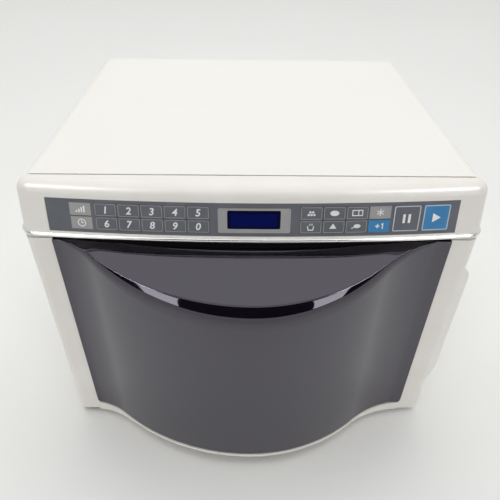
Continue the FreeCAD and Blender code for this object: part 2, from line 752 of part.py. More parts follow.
# Fascia: upright foot, leaning front, rounded top, hollow from the back
fascia_back = "plate_face + 0.2"
shell_out = fuse(
    prism("lean_start - fascia_bottom", "0", "0", "fascia_bottom", fascia_outline("0", fascia_back)),
    prism("fascia_top - lean_start", "0", "0", "lean_start", fascia_outline("0", fascia_back), lean=True),
)
behind = block("-half - 5", "half + 5",
               fascia_back, fascia_back + " + 60",
               "fascia_bottom - 5", "fascia_top + 5")
shell_out = cut(shell_out, behind)


def top_edge(edge):
    spot = middle(edge)
    return abs(spot.z - num("fascia_top")) < 0.01 and spot.y < num(fascia_back) - 0.01


shell_out = rounded(shell_out, "fascia_roll", top_edge)
inset = "fascia_wall"
shell_in = fuse(
    prism("lean_start - fascia_bottom - fascia_wall", "0", "0", "fascia_bottom + fascia_wall",
          fascia_outline(inset, fascia_back + " + 20")),
    prism("fascia_top - lean_start - fascia_wall", "0", "0", "lean_start",
          fascia_outline(inset, fascia_back + " + 20"), lean=True),
)
recess = prism("strip_high + 0.3", "0", "lean_step * (strip_low - 0.15 - lean_start)", "strip_low - 0.15",
               strip_outline("strip_half + 0.15", "4", "strip_thick"), lean=True)
KEYS = [("key_%d" % (i + 1), "key_pitch * %g" % (i - 6.395), 1) for i in range(5)]
KEYS += [("key_%d" % ((i + 6) % 10), "key_pitch * %g" % (i - 6.395), -1) for i in range(5)]
KEYS += [("key_level", "key_pitch * -7.49", 1), ("key_clock", "key_pitch * -7.49", -1)]
KEYS += [("key_menu_%d" % (i + 1), "key_pitch * %g" % (i + 2.49), 1) for i in range(3)]
KEYS += [("key_thaw", "key_pitch * 5.49", 1)]
KEYS += [("key_menu_%d" % (i + 4), "key_pitch * %g" % (i + 2.49), -1) for i in range(3)]
KEYS += [("key_minute", "key_pitch * 5.49", -1)]
KEYS += [("key_pause", "key_pitch * 6.69", 0), ("key_start", "key_pitch * 8.015", 0)]
windows = []
for label, x, row in KEYS:
    wide, high = ("key_wide", "key_high") if row else ("big_wide", "big_high")
    z = "key_row + row_pitch / 2 * %d * cos(fascia_lean)" % row
    windows.append(panel_block(x, z, wide + " + 0.5", high + " + 0.5", "-2", "4.1"))
    publish(panel_block(x, z, wide, high, "-0.2", "key_thick"), label)
glass_hole = panel_block("0", "key_row", "screen_wide + 0.5", "screen_high + 0.5", "-2", "9")
windows = group(glass_hole, *windows)
posts = []
for sign in ("-1", "1"):
    x, y, z, swing = panel_point("key_pitch * 6.9 * " + sign, "key_row", "fascia_wall - 1")
    post = doc.addObject("Part::Cylinder", "post")
    bind(post, "Radius", "3")
    bind(post, "Height", "10")
    place(post, x, y, z, "0", "0", "-90 - fascia_lean")
    posts.append(post)
publish(fuse(cut(cut(cut(shell_out, shell_in), recess), windows), *posts), "control_fascia")
overlay = prism("strip_high", "0", "lean_step * (strip_low - lean_start)", "strip_low",
                strip_outline("strip_half", "0", "strip_thick - 0.05"), lean=True)
publish(cut(overlay, windows), "keypad_overlay")
publish(panel_block("0", "key_row", "screen_wide", "screen_high", "0", "1.6"), "display_window")


def panel_board(x, wide, high, front, deep):
    """Box parallel to the lean of the panel, measured from its face in the middle."""
    thing = doc.addObject("Part::Box", "board")
    bind(thing, "Length", wide)
    bind(thing, "Width", deep)
    bind(thing, "Height", high)
    face_y = "lean_step * (key_row - lean_start) - fascia_nose"
    y = face_y + " + (%s) * cos(fascia_lean) - (%s) / 2 * sin(fascia_lean)" % (front, high)
    z = "key_row - (%s) * sin(fascia_lean) - (%s) / 2 * cos(fascia_lean)" % (front, high)
    place(thing, "(%s) - (%s) / 2" % (x, wide), y, z, "0", "0", "-fascia_lean")
    return thing


board_front = "fascia_wall + 13.7"
publish(fuse(
    panel_board("0", "key_pitch * 15", "28", board_front, "1.6"),
    panel_board("0", "screen_wide + 4", "screen_high + 4", "fascia_wall + 0.3", "14"),
    panel_board("-90", "24", "16", board_front + " + 1", "8"),
    panel_board("80", "16", "20", board_front + " + 1", "7"),
), "control_board")

# Bright half-round trim round the foot of the fascia
trim_low = "fascia_bottom + 0.5"
trim = cut(
    prism("bead_height", "0", "0", trim_low, fascia_outline("-bead_proud", fascia_back)),
    prism("bead_height + 2", "0", "0", trim_low + " - 1", fascia_outline("-0.05", fascia_back + " + 20")),
)


def trim_edge(edge):
    spot = middle(edge)
    level = min(abs(spot.z - num(trim_low)), abs(spot.z - num(trim_low + " + bead_height")))
    shape = edge.BoundBox
    if level > 0.01 or shape.YLength < 0.5:
        return False
    reach = num("half") if abs(spot.x) > num("half") - 20 else 0
    if isinstance(edge.Curve, Part.Circle):
        outer = (num("fascia_bow + bead_proud"), num("fascia_corner + bead_proud"))
        return min(abs(edge.Curve.Radius - r) for r in outer) < 0.01
    return abs(spot.x) > reach + 1


publish(rounded(trim, "1.9", trim_edge), "fascia_trim")

# Door: white frame with hinge bores and side grip
pin_x, pin_y = "hinge_x", "hinge_y"
section = prism("flare_high - flare_low", "0", "0", "flare_low", [
    ("half - 11", "door_thick - 0.5"),
    ("half - 11", "1"),
    ("half - 8", "0.4"),
    ("half - 5", "0.7"),
    ("half + side_flare - 1.6", "9", "2.4"),
    ("half + side_flare - 1.2", "13.2"),
    ("half + 3", "door_thick - 0.5"),
])
outline = new_body()
pad(outline, body_sketch(outline, "XZ", "0", [
    ("half - 12", "flare_low"),
    ("half - 3", "flare_low", "34"),
    ("half + side_flare", "flare_low + 26"),
    ("half + side_flare", "flare_high - 26", "34"),
    ("half - 3", "flare_high"),
    ("half - 12", "flare_high"),
]), "door_thick", back=True)
# Rail under the belly: its underside climbs to the thin floor of the belly
slope = new_body()
pad(slope, body_sketch(slope, "YZ", "-glass_half", [
    ("2", "door_bottom + 0.5"),
    ("2", "glass_low - 1"),
    ("-26", "glass_low - 1"),
    ("-26", "glass_low - sill_rim"),
]), "glass_half * 2")
frame_foot = fuse(
    block("hinge_x", "-glass_half - 0.3", "0", "door_thick", "door_bottom", "door_top"),
    rod("hinge_y", "door_top - door_bottom", "hinge_x", "hinge_y", "door_bottom"),
    block("glass_half + 0.3", "-hinge_x", "0", "door_thick", "door_bottom", "door_top"),
    rod("hinge_y", "door_top - door_bottom", "-hinge_x", "hinge_y", "door_bottom"),
    block("-half + stile / 2", "half - stile / 2", "0", "door_thick", "door_bottom", "glass_low"),
)
frame_parts = [
    rounded(frame_foot, "3", lambda e: e.BoundBox.ZMax < num("door_bottom") + 0.01),
    block("-half + stile / 2", "half - stile / 2",
          "door_thick - 9", "door_thick",
          "door_top - 9", "door_top"),
    prism("sill_rim", "0", "-0.6", "glass_low - sill_rim", belly_outline("0", "5")),
    overlap(prism("sill", "0", "-0.6", "door_bottom", belly_outline("0", "5")), slope),
    overlap(section, outline),
]
# The lower corners of the opening are round, and so is the dark panel that sits in it
CORNERS = (
    ("glass_half - panel_corner", "glass_half - panel_corner", "glass_half + 0.4"),
    ("panel_corner - glass_half", "-glass_half - 0.4", "panel_corner - glass_half"),
)


def corner_piece(spot, front, back, radius):
    centre, left, right = spot
    return cut(
        block(left, right, front, back, "glass_low - 0.2", "glass_low + panel_corner"),
        rod(radius, "20", centre, "-6", "glass_low + panel_corner", "y"),
    )


frame_parts += [corner_piece(spot, "0", "5.8", "panel_corner") for spot in CORNERS]
bores = (
    rod("pin_radius + 0.05", "13", "hinge_x", "hinge_y", "door_top - 12"),
    rod("pin_radius + 0.05", "13", "hinge_x", "hinge_y", "door_bottom - 1"),
)
publish(cut(fuse(*frame_parts), *bores), "door_frame")


def belly_reach(x):
    """How far the belly stands out at a distance from the middle."""
    side = "left" if x < 0 else "right"
    bow, sweep = num("round_" + side), num("sweep_" + side)
    x = min(abs(x), num("glass_half"))
    if x < num("turn_" + side):
        return num("belly_depth") - bow + math.sqrt(bow ** 2 - x ** 2)
    return sweep - math.sqrt(sweep ** 2 - (num("wave_" + side) - x) ** 2)


def panel_section(x):
    """Upright section of the dark panel: wall, rolled lip, crest, scoop and top edge."""
    part = max(belly_reach(x) / num("belly_depth"), 0.03)
    fall = part ** 0.95
    top, low = num("door_top"), num("glass_low") + 0.3
    front = 0.5 - num("belly_depth") * part
    crest_y = front + num("lip_roll") * part
    crest_z = top - num("crest_drop") * fall
    band_z = top - num("band_drop") * part ** 0.8
    small = 0.15 + 1.05 * part
    wall = 2.6 - 0.6 * part
    corner = [
        Vector(x, 6, low),
        Vector(x, front, low),
        Vector(x, front, band_z),
        Vector(x, crest_y, crest_z),
        Vector(x, crest_y + 1.705 * small, crest_z - 0.516 * small),
        Vector(x, wall, top - 7.5 * fall),
        Vector(x, wall, top),
        Vector(x, 6, top),
    ]
    roll = Vector(x, front + 0.258 * (crest_y - front), band_z + 0.536 * (crest_z - band_z))
    lip = Vector(x, crest_y + 1.012 * small, crest_z + 0.266 * small)
    # Narrow valley behind the lip, then a slope that steepens up to the rear wall of the scoop
    marks = [
        (58.2, 0.84),
        (53.6, 0.985),
        (49.6, 0.96),
        (32.6, 0.7575),
        (14.6, 0.5025),
        (5.6, 0.3525),
        (1.7, 0.255),
    ]
    flow = Part.BSplineCurve()
    deep = num("scoop_drop") * fall
    points = [Vector(x, 2.6 - reach * part, top - deep * depth) for reach, depth in marks]
    flow.interpolate(
        Points=[corner[4]] + points + [corner[5]],
        Parameters=[0, 0.093, 0.187, 0.24, 0.485, 0.752, 0.892, 0.963, 1],
    )
    edges = [
        Part.LineSegment(corner[0], corner[1]),
        Part.LineSegment(corner[1], corner[2]),
        Part.Arc(corner[2], roll, corner[3]),
        Part.Arc(corner[3], lip, corner[4]),
        flow,
        Part.LineSegment(corner[5], corner[6]),
        Part.LineSegment(corner[6], corner[7]),
        Part.LineSegment(corner[7], corner[0]),
    ]
    return Part.Wire([edge.toShape() for edge in edges])


# The lip changes its section all along the door, so the panel is a loft through upright sections
stations = [0, 0.12, 0.24, 0.36, 0.48, 0.58, 0.67, 0.75, 0.82, 0.88, 0.93, 0.97, 1]
stations = [-part for part in stations[:0:-1]] + stations
skin = doc.addObject("Part::Feature", "skin")
sections = [panel_section(part * num("glass_half")) for part in stations]
skin.Shape = Part.makeLoft(sections, True, False)
skin.Placement = Placement(Vector(num("mid"), num("face"), 0), Rotation())
hollow = prism("door_top - scoop_drop - 3 - glass_low", "0", "0.5", "glass_low - 2",
               belly_outline("panel_wall", "30"))
relief = [
    block("-70", "70", "-30", "10", "door_top - scoop_drop - 8", "door_top - scoop_drop + 4.5"),
    block("-70", "70", "-14", "10", "door_top - scoop_drop + 4", "door_top - scoop_drop + 12.5"),
]
rounds = [corner_piece(spot, "-3", "8", "panel_corner - 0.3") for spot in CORNERS]
publish(cut(skin, hollow, *relief, *rounds), "door_panel")

# Door: steel choke, screen, inner cover and latch
pan = ("-glass_half + 2", "glass_half - 2")
choke_low, choke_high = "glass_low + 2", "door_top - 10"
view = ("-cavity_left + 14", "oven_right - 14", "cavity_floor + 14", "oven_top - 14")
choke = cut(
    block(pan[0], pan[1], "6.3", "16", choke_low, choke_high),
    cut(
        block(pan[0] + " + 1.5", pan[1] + " - 1.5", "7.8", "18", choke_low + " + 1.5", choke_high + " - 1.5"),
        block(view[0] + " - 1.5", view[1] + " + 1.5", "5", "19", view[2] + " - 1.5", view[3] + " + 1.5"),
    ),
    block(view[0], view[1], "5", "19", view[2], view[3]),
)
publish(choke, "door_choke")
screen = block(view[0] + " - 5", view[1] + " + 5", "4.8", "6.3", view[2] + " - 5", "door_top - 52")
publish(screen, "door_screen")
liner = cut(
    block(pan[0], pan[1], "16", "17.6", choke_low, choke_high),
    block(view[0] + " - 0.2", view[1] + " + 0.2", "15", "19", view[2] + " - 0.2", view[3] + " + 0.2"),
    *[block("latch_x - 6.5", "latch_x + 7.5", "15", "19", low + " - 7", low + " + 13") for low in HOOKS],
)
publish(liner, "choke_cover")
hooks = [block("latch_x - 3", "latch_x + 3", "8.1", "15.7", "hook_low - 6", "hook_high + 10")]
for low in HOOKS:
    hooks.append(block("latch_x - 3", "latch_x + 3", "12", "31", low, low + " + 6"))
    hooks.append(block("latch_x - 3", "latch_x + 3", "26", "31", low + " - 5", low + " + 2"))
publish(fuse(*hooks), "latch_key")
coil = doc.addObject("Part::Feature", "coil")
coil_low = num("hook_high") + 11
coil_high = num(choke_high) - 2.4
turns = 6
wire_radius = 0.6
helix = Part.Wire(Part.makeHelix((coil_high - coil_low) / turns, coil_high - coil_low, 3.2).Edges)
wire = Part.Wire([Part.makeCircle(wire_radius, Vector(3.2, 0, 0), Vector(0, 1, 0))])
coil.Shape = helix.makePipeShell([wire], True, True)
coil.Placement = Placement(Vector(num("mid + latch_x"), num("face") + 12, coil_low), Rotation())
publish(coil, "latch_spring")
# Least gap between one turn and the next, on points along the wire at least half a turn apart
along = helix.discretize(Number=36 * turns + 1)
apart = [a.distanceToPoint(b) for i, a in enumerate(along) for b in along[i + 18:]]
print("least gap in the latch spring: %.2f mm" % (min(apart) - 2 * wire_radius))

# Latch receiver behind the front plate, with its switches
latch = [
    block("latch_x - 12", "latch_x - 9", "oven_front", "oven_front + 36", "hook_low - 20", "hook_high + 28"),
    block("latch_x - 22", "latch_x - 10", "oven_front", "oven_front + 2", "hook_low - 20", "hook_high + 28"),
]
for low in HOOKS:
    for shelf in (" + 16", " - 13"):
        latch.append(block("latch_x - 10", "latch_x + 9",
                           "oven_front", "oven_front + 30",
                           low + shelf, low + shelf + " + 3"))
    latch.append(block("latch_x - 10", "latch_x - 1",
                       "oven_front + 6", "oven_front + 26",
                       low + " + 18", low + " + 32"))
publish(fuse(*latch), "latch_board")

# Hinge plates with their pins
tab = ("-half + 6", "-half + 30")
upper = fuse(
    block(tab[0], tab[1], "hinge_y - 5", "oven_front + 2", "door_top + 1.2", "door_top + 3.2"),
    block(tab[0], tab[1], "oven_front", "oven_front + 2", "door_top - 34", "door_top + 3.2"),
    rod("hinge_y - 4", "2", pin_x, pin_y, "door_top + 1.2"),
    rod("pin_radius", "13", pin_x, pin_y, "door_top - 11"),
)
lower = fuse(
    block(tab[0], tab[1], "hinge_y - 5", "oven_front + 2", "door_bottom - 3.4", "door_bottom - 1.4"),
    block(tab[0], tab[1], "oven_front", "oven_front + 2", "door_bottom - 3.4", "door_bottom + 40"),
    rod("hinge_y - 4", "2", pin_x, pin_y, "door_bottom - 3.4"),
    rod("pin_radius", "13", pin_x, pin_y, "door_bottom - 2"),
)
publish(group(upper, lower), "hinge_brackets")

# Cord gland and the screws of the back panel
publish(cut(
    fuse(
        rod("9", "4", "-120", "back_face", "52", "y"),
        rod("6.2", "14", "-120", "back_face - 11", "52", "y"),
    ),
    rod("3.4", "30", "-120", "back_face - 15", "52", "y"),
), "cord_gland")
publish(group(*[
    fuse(
        bevelled(rod("3.8", "2.2", u, "back_face", v, "y"), "1",
                 lambda e: middle(e).y > num("back_face + 2")),
        rod("1.9", "8", u, "back_face - 7", v, "y"),
    ) for u, v in SCREWS
]), "case_screws")

doc.recompute()
wrong = [thing.Label for thing in doc.Objects if "Invalid" in thing.State or "Error" in thing.State]
if wrong:
    raise RuntimeError("not built: " + ", ".join(wrong))
for label, thing in NODES.items():
    if thing.Shape.isNull() or not thing.Shape.isValid():
        raise RuntimeError("bad shape: " + label)
    thing.Shape.exportStep("parts/%s.step" % label)
print(len(NODES), "parts")
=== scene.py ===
"""Looks of a small white countertop microwave oven with a dark bellied door."""
import json
import math

import bmesh
import bpy
from mathutils import Matrix, Vector

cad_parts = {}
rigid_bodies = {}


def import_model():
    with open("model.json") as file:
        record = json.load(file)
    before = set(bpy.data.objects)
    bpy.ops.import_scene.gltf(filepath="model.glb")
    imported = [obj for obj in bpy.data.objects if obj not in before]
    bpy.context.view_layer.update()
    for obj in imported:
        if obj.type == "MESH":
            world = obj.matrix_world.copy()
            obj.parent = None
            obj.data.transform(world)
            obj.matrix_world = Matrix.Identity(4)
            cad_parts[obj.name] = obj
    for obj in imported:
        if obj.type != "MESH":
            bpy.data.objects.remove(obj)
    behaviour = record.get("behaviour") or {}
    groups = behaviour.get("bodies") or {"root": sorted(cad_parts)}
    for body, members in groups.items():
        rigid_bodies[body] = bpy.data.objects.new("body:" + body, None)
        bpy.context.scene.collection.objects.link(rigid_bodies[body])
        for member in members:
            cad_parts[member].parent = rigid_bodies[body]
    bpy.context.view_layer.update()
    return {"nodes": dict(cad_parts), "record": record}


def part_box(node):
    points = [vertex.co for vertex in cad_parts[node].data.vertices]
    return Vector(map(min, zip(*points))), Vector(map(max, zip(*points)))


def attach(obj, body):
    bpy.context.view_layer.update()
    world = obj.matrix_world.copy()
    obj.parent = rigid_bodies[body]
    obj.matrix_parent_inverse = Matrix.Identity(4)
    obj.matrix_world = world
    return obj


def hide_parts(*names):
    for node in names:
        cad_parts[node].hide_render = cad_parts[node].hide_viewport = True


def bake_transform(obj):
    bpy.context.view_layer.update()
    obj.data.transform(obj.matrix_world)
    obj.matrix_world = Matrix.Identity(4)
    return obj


for leftover in list(bpy.data.objects):
    bpy.data.objects.remove(leftover)
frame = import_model()
nodes = frame["nodes"]
bodies = frame["record"]["behaviour"]["bodies"]
body_of_node = {name: body for body, names in bodies.items() for name in names}

# The appliance is measured in millimetres from the middle of its front plate line, at table height
MIDDLE = -3.45
FACE = -136.2


def spot(x, y, z):
    """Point of the appliance, given in millimetres."""
    return Vector((x + MIDDLE, y + FACE, z)) / 1000


def rgb(code):
    """Linear colour of an sRGB hex value."""
    parts = [int(code[i:i + 2], 16) / 255 for i in (1, 3, 5)]
    return tuple(p / 12.92 if p <= 0.04045 else ((p + 0.055) / 1.055) ** 2.4 for p in parts) + (1.0,)


def per_mm(size):
    """Texture scale at which one feature is that many millimetres wide."""
    return 1000 / size


def add(tree, kind, inputs=None, **settings):
    """Add a node, set it up and link or set what goes into it."""
    node = tree.nodes.new(kind)
    for name, value in settings.items():
        setattr(node, name, value)
    for name, value in (inputs or {}).items():
        if isinstance(value, bpy.types.NodeSocket):
            tree.links.new(value, node.inputs[name])
        else:
            node.inputs[name].default_value = value
    return node


def surface(name, **sockets):
    """New material with one shader, and the coordinates that its patterns read."""
    finish = bpy.data.materials.new(name)
    finish.use_nodes = True
    tree = finish.node_tree
    tree.nodes.clear()
    shader = add(tree, "ShaderNodeBsdfPrincipled", {k.replace("_", " "): v for k, v in sockets.items()})
    add(tree, "ShaderNodeOutputMaterial", {"Surface": shader.outputs[0]})
    where = add(tree, "ShaderNodeTexCoord").outputs["Object"]
    return finish, tree, shader, where


def mottled(name, low, high, patch, rough, grain, depth, **sockets):
    """Two close tones in soft patches, a roughness that drifts, and a fine bump."""
    finish, tree, shader, where = surface(name, **sockets)
    cloud = add(tree, "ShaderNodeTexNoise", {"Vector": where, "Scale": per_mm(patch), "Detail": 3.0})
    tones = add(tree, "ShaderNodeValToRGB", {"Fac": cloud.outputs["Fac"]})
    tones.color_ramp.elements[0].color = rgb(low)
    tones.color_ramp.elements[1].color = rgb(high)
    tones.color_ramp.elements[0].position = 0.3
    tones.color_ramp.elements[1].position = 0.7
    drift = add(tree, "ShaderNodeMapRange", {"Value": cloud.outputs["Fac"], "From Min": 0.3, "From Max": 0.7,
                                             "To Min": rough[0], "To Max": rough[1]})
    grit = add(tree, "ShaderNodeTexNoise", {"Vector": where, "Scale": per_mm(grain), "Detail": 2.0})
    bump = add(tree, "ShaderNodeBump", {"Height": grit.outputs["Fac"], "Strength": 0.3,
                                        "Distance": depth / 1000})
    tree.links.new(tones.outputs["Color"], shader.inputs["Base Color"])
    tree.links.new(drift.outputs["Result"], shader.inputs["Roughness"])
    tree.links.new(bump.outputs["Normal"], shader.inputs["Normal"])
    return finish


# Baked enamel on folded steel: warm white, an even soft gloss with a faint orange peel
baked_enamel = mottled("baked_enamel", "#F1EEE9", "#F3F1ED", 140, (0.30, 0.36), 1.6, 0.05, IOR=1.5)
# Moulded ABS of the fascia and the door frame: white, glossier than the paint, nearly flawless
white_abs = mottled("white_moulded_abs", "#EEEAE4", "#F2EFEA", 45, (0.28, 0.34), 2.2, 0.02, IOR=1.53)
# Bright bead: plated plastic, a mirror with a slight haze that draws the room out into soft lines
plated_bead = mottled("bright_plated_bead", "#EBEBEA", "#F0F0EF", 30, (0.19, 0.22), 14, 0.0005,
                      Metallic=0.9, IOR=1.6)
# Printed membrane of the keypad: cool grey polyester with a fine satin emboss
grey_membrane = mottled("grey_membrane", "#5B5F67", "#646770", 25, (0.38, 0.46), 0.5, 0.03, IOR=1.5)
pale_print = mottled("pale_grey_print", "#9E9E9F", "#A5A4A4", 20, (0.40, 0.48), 0.5, 0.03, IOR=1.5)
blue_print = mottled("blue_print", "#2F80B8", "#3789BF", 20, (0.36, 0.44), 0.5, 0.03, IOR=1.5)
white_ink = mottled("white_ink", "#ECEDEB", "#F4F4F2", 6, (0.45, 0.55), 0.4, 0.02, IOR=1.45)
line_ink = mottled("grey_line_ink", "#9C9D9B", "#A6A7A5", 6, (0.45, 0.55), 0.4, 0.02, IOR=1.45)
pale_ink = mottled("pale_line_ink", "#BCC6CC", "#C8D0D4", 6, (0.45, 0.55), 0.4, 0.02, IOR=1.45)
# Moulded black and natural plastics inside the case
black_pp = mottled("black_polypropylene", "#141416", "#1C1C1F", 18, (0.40, 0.55), 0.9, 0.06, IOR=1.49)
natural_acetal = mottled("natural_acetal", "#E6E3DA", "#EEEBE3", 16, (0.34, 0.44), 1.2, 0.04, IOR=1.48,
                         Subsurface_Weight=0.08, Subsurface_Scale=0.004)
foot_rubber = mottled("foot_rubber", "#17171A", "#222226", 9, (0.70, 0.85), 0.7, 0.12, IOR=1.5)
# Cavity enamel: pale grey with a fine fleck
cavity_enamel = mottled("cavity_enamel", "#CFCFCB", "#DAD9D5", 14, (0.28, 0.36), 1.2, 0.05, IOR=1.5)
choke_enamel = mottled("choke_enamel", "#2A2A2D", "#343438", 20, (0.38, 0.48), 1.2, 0.05, IOR=1.5)


def smoked_acrylic():
    """Smoked, hard-coated acrylic: near black with a violet cast and a strong mirror gloss,
    with the faintest haze where hands have been."""
    finish, tree, shader, where = surface("smoked_acrylic", IOR=2.0, Specular_Tint=rgb("#E9E5F3"))
    haze = add(tree, "ShaderNodeTexNoise", {"Vector": where, "Scale": per_mm(55), "Detail": 4.0})
    tint = add(tree, "ShaderNodeValToRGB", {"Fac": haze.outputs["Fac"]})
    tint.color_ramp.elements[0].color = rgb("#0B0810")
    tint.color_ramp.elements[1].color = rgb("#130F1A")
    rough = add(tree, "ShaderNodeMapRange", {"Value": haze.outputs["Fac"], "From Min": 0.35, "From Max": 0.75,
                                             "To Min": 0.03, "To Max": 0.09})
    ripple = add(tree, "ShaderNodeTexNoise", {"Vector": where, "Scale": per_mm(38), "Detail": 1.0})
    bump = add(tree, "ShaderNodeBump", {"Height": ripple.outputs["Fac"], "Strength": 0.05, "Distance": 0.001})
    tree.links.new(tint.outputs["Color"], shader.inputs["Base Color"])
    tree.links.new(rough.outputs["Result"], shader.inputs["Roughness"])
    tree.links.new(bump.outputs["Normal"], shader.inputs["Normal"])
    return finish


def brushed(name, low, high, line, rough, metal=1.0, along=(0.03, 1, 1)):
    """Rolled or drawn metal: fine lines that run one way, brighter and duller in turn."""
    finish, tree, shader, where = surface(name, Metallic=metal)
    drawn = add(tree, "ShaderNodeMapping", {"Vector": where, "Scale": along})
    lines = add(tree, "ShaderNodeTexNoise", {"Vector": drawn.outputs[0], "Scale": per_mm(line),
                                             "Detail": 4.0})
    tones = add(tree, "ShaderNodeValToRGB", {"Fac": lines.outputs["Fac"]})
    tones.color_ramp.elements[0].color = rgb(low)
    tones.color_ramp.elements[1].color = rgb(high)
    drift = add(tree, "ShaderNodeMapRange", {"Value": lines.outputs["Fac"], "To Min": rough[0],
                                             "To Max": rough[1]})
    bump = add(tree, "ShaderNodeBump", {"Height": lines.outputs["Fac"], "Strength": 0.15, "Distance": 0.0001})
    tree.links.new(tones.outputs["Color"], shader.inputs["Base Color"])
    tree.links.new(drift.outputs["Result"], shader.inputs["Roughness"])
    tree.links.new(bump.outputs["Normal"], shader.inputs["Normal"])
    return finish


def spangled_zinc():
    """Hot-dipped steel sheet: flat crystals a few millimetres wide, each a little lighter or duller."""
    finish, tree, shader, where = surface("spangled_zinc", Metallic=0.9)
    crystal = add(tree, "ShaderNodeTexVoronoi", {"Vector": where, "Scale": per_mm(7)})
    shade = add(tree, "ShaderNodeSeparateColor", {"Color": crystal.outputs["Color"]})
    tones = add(tree, "ShaderNodeValToRGB", {"Fac": shade.outputs["Red"]})
    tones.color_ramp.elements[0].color = rgb("#9EA2A5")
    tones.color_ramp.elements[1].color = rgb("#B9BDBF")
    drift = add(tree, "ShaderNodeMapRange", {"Value": shade.outputs["Green"], "To Min": 0.34, "To Max": 0.48})
    tree.links.new(tones.outputs["Color"], shader.inputs["Base Color"])
    tree.links.new(drift.outputs["Result"], shader.inputs["Roughness"])
    return finish


def stacked_iron():
    """Transformer iron: pressed sheets half a millimetre thick, drawn at 2 mm so that they show,
    varnished brown-grey."""
    finish, tree, shader, where = surface("stacked_iron", Metallic=0.6)
    sheets = add(tree, "ShaderNodeTexWave", {"Vector": where, "Scale": per_mm(2) / 20, "Distortion": 0.4},
                 bands_direction="Y")
    tones = add(tree, "ShaderNodeValToRGB", {"Fac": sheets.outputs["Fac"]})
    tones.color_ramp.elements[0].color = rgb("#3B3733")
    tones.color_ramp.elements[1].color = rgb("#7A756E")
    bump = add(tree, "ShaderNodeBump", {"Height": sheets.outputs["Fac"], "Strength": 0.4, "Distance": 0.0003})
    tree.links.new(tones.outputs["Color"], shader.inputs["Base Color"])
    tree.links.new(bump.outputs["Normal"], shader.inputs["Normal"])
    shader.inputs["Roughness"].default_value = 0.5
    return finish


def perforated_screen():
    """Black steel screen of the door: round holes 1.3 mm wide, drawn 3 mm apart so that they show."""
    finish, tree, shader, where = surface("perforated_black_screen", Roughness=0.45)
    holes = add(tree, "ShaderNodeTexVoronoi", {"Vector": where, "Scale": per_mm(3), "Randomness": 0.0})
    tones = add(tree, "ShaderNodeValToRGB", {"Fac": holes.outputs["Distance"]})
    tones.color_ramp.interpolation = "EASE"
    tones.color_ramp.elements[0].color = rgb("#050506")
    tones.color_ramp.elements[1].color = rgb("#2C2C30")
    tones.color_ramp.elements[0].position = 0.28
    tones.color_ramp.elements[1].position = 0.34
    bump = add(tree, "ShaderNodeBump", {"Height": tones.outputs["Color"], "Strength": 0.6,
                                        "Distance": 0.0005})
    tree.links.new(tones.outputs["Color"], shader.inputs["Base Color"])
    tree.links.new(bump.outputs["Normal"], shader.inputs["Normal"])
    return finish


def circuit_board():
    """Green solder mask over copper runs, with small parts of several colours."""
    finish, tree, shader, where = surface("circuit_board", Roughness=0.4)
    runs = add(tree, "ShaderNodeTexBrick", {"Vector": where, "Scale": per_mm(60), "Color1": rgb("#1E5A35"),
                                            "Color2": rgb("#256B40"), "Mortar": rgb("#3E8A58")})
    chips = add(tree, "ShaderNodeTexVoronoi", {"Vector": where, "Scale": per_mm(9)}, distance="CHEBYCHEV")
    mask = add(tree, "ShaderNodeValToRGB", {"Fac": chips.outputs["Distance"]})
    mask.color_ramp.interpolation = "CONSTANT"
    mask.color_ramp.elements[0].color = (1, 1, 1, 1)
    mask.color_ramp.elements[1].color = (0, 0, 0, 1)
    mask.color_ramp.elements[1].position = 0.16
    both = add(tree, "ShaderNodeMix", {"Factor": mask.outputs["Color"], "A": runs.outputs["Color"],
                                       "B": rgb("#2A2A2C")}, data_type="RGBA")
    tree.links.new(both.outputs["Result"], shader.inputs["Base Color"])
    return finish


def mica_sheet():
    """Mica cover of the wave guide: silvery brown flakes pressed into a sheet."""
    finish, tree, shader, where = surface("mica_sheet", Roughness=0.35, Metallic=0.25)
    flakes = add(tree, "ShaderNodeTexVoronoi", {"Vector": where, "Scale": per_mm(4)})
    shade = add(tree, "ShaderNodeSeparateColor", {"Color": flakes.outputs["Color"]})
    tones = add(tree, "ShaderNodeValToRGB", {"Fac": shade.outputs["Red"]})
    tones.color_ramp.elements[0].color = rgb("#A79C8A")
    tones.color_ramp.elements[1].color = rgb("#C9C0B0")
    tree.links.new(tones.outputs["Color"], shader.inputs["Base Color"])
    return finish


def pressed_glass():
    """Pressed soda-lime glass of the tray: clear with a green edge and a slight wave from the mould."""
    finish, tree, shader, where = surface("pressed_glass", Base_Color=rgb("#E6F2EC"), Roughness=0.04,
                                          IOR=1.52, Transmission_Weight=1.0)
    wave = add(tree, "ShaderNodeTexNoise", {"Vector": where, "Scale": per_mm(14), "Detail": 2.0})
    bump = add(tree, "ShaderNodeBump", {"Height": wave.outputs["Fac"], "Strength": 0.12, "Distance": 0.0008})
    tree.links.new(bump.outputs["Normal"], shader.inputs["Normal"])
    return finish


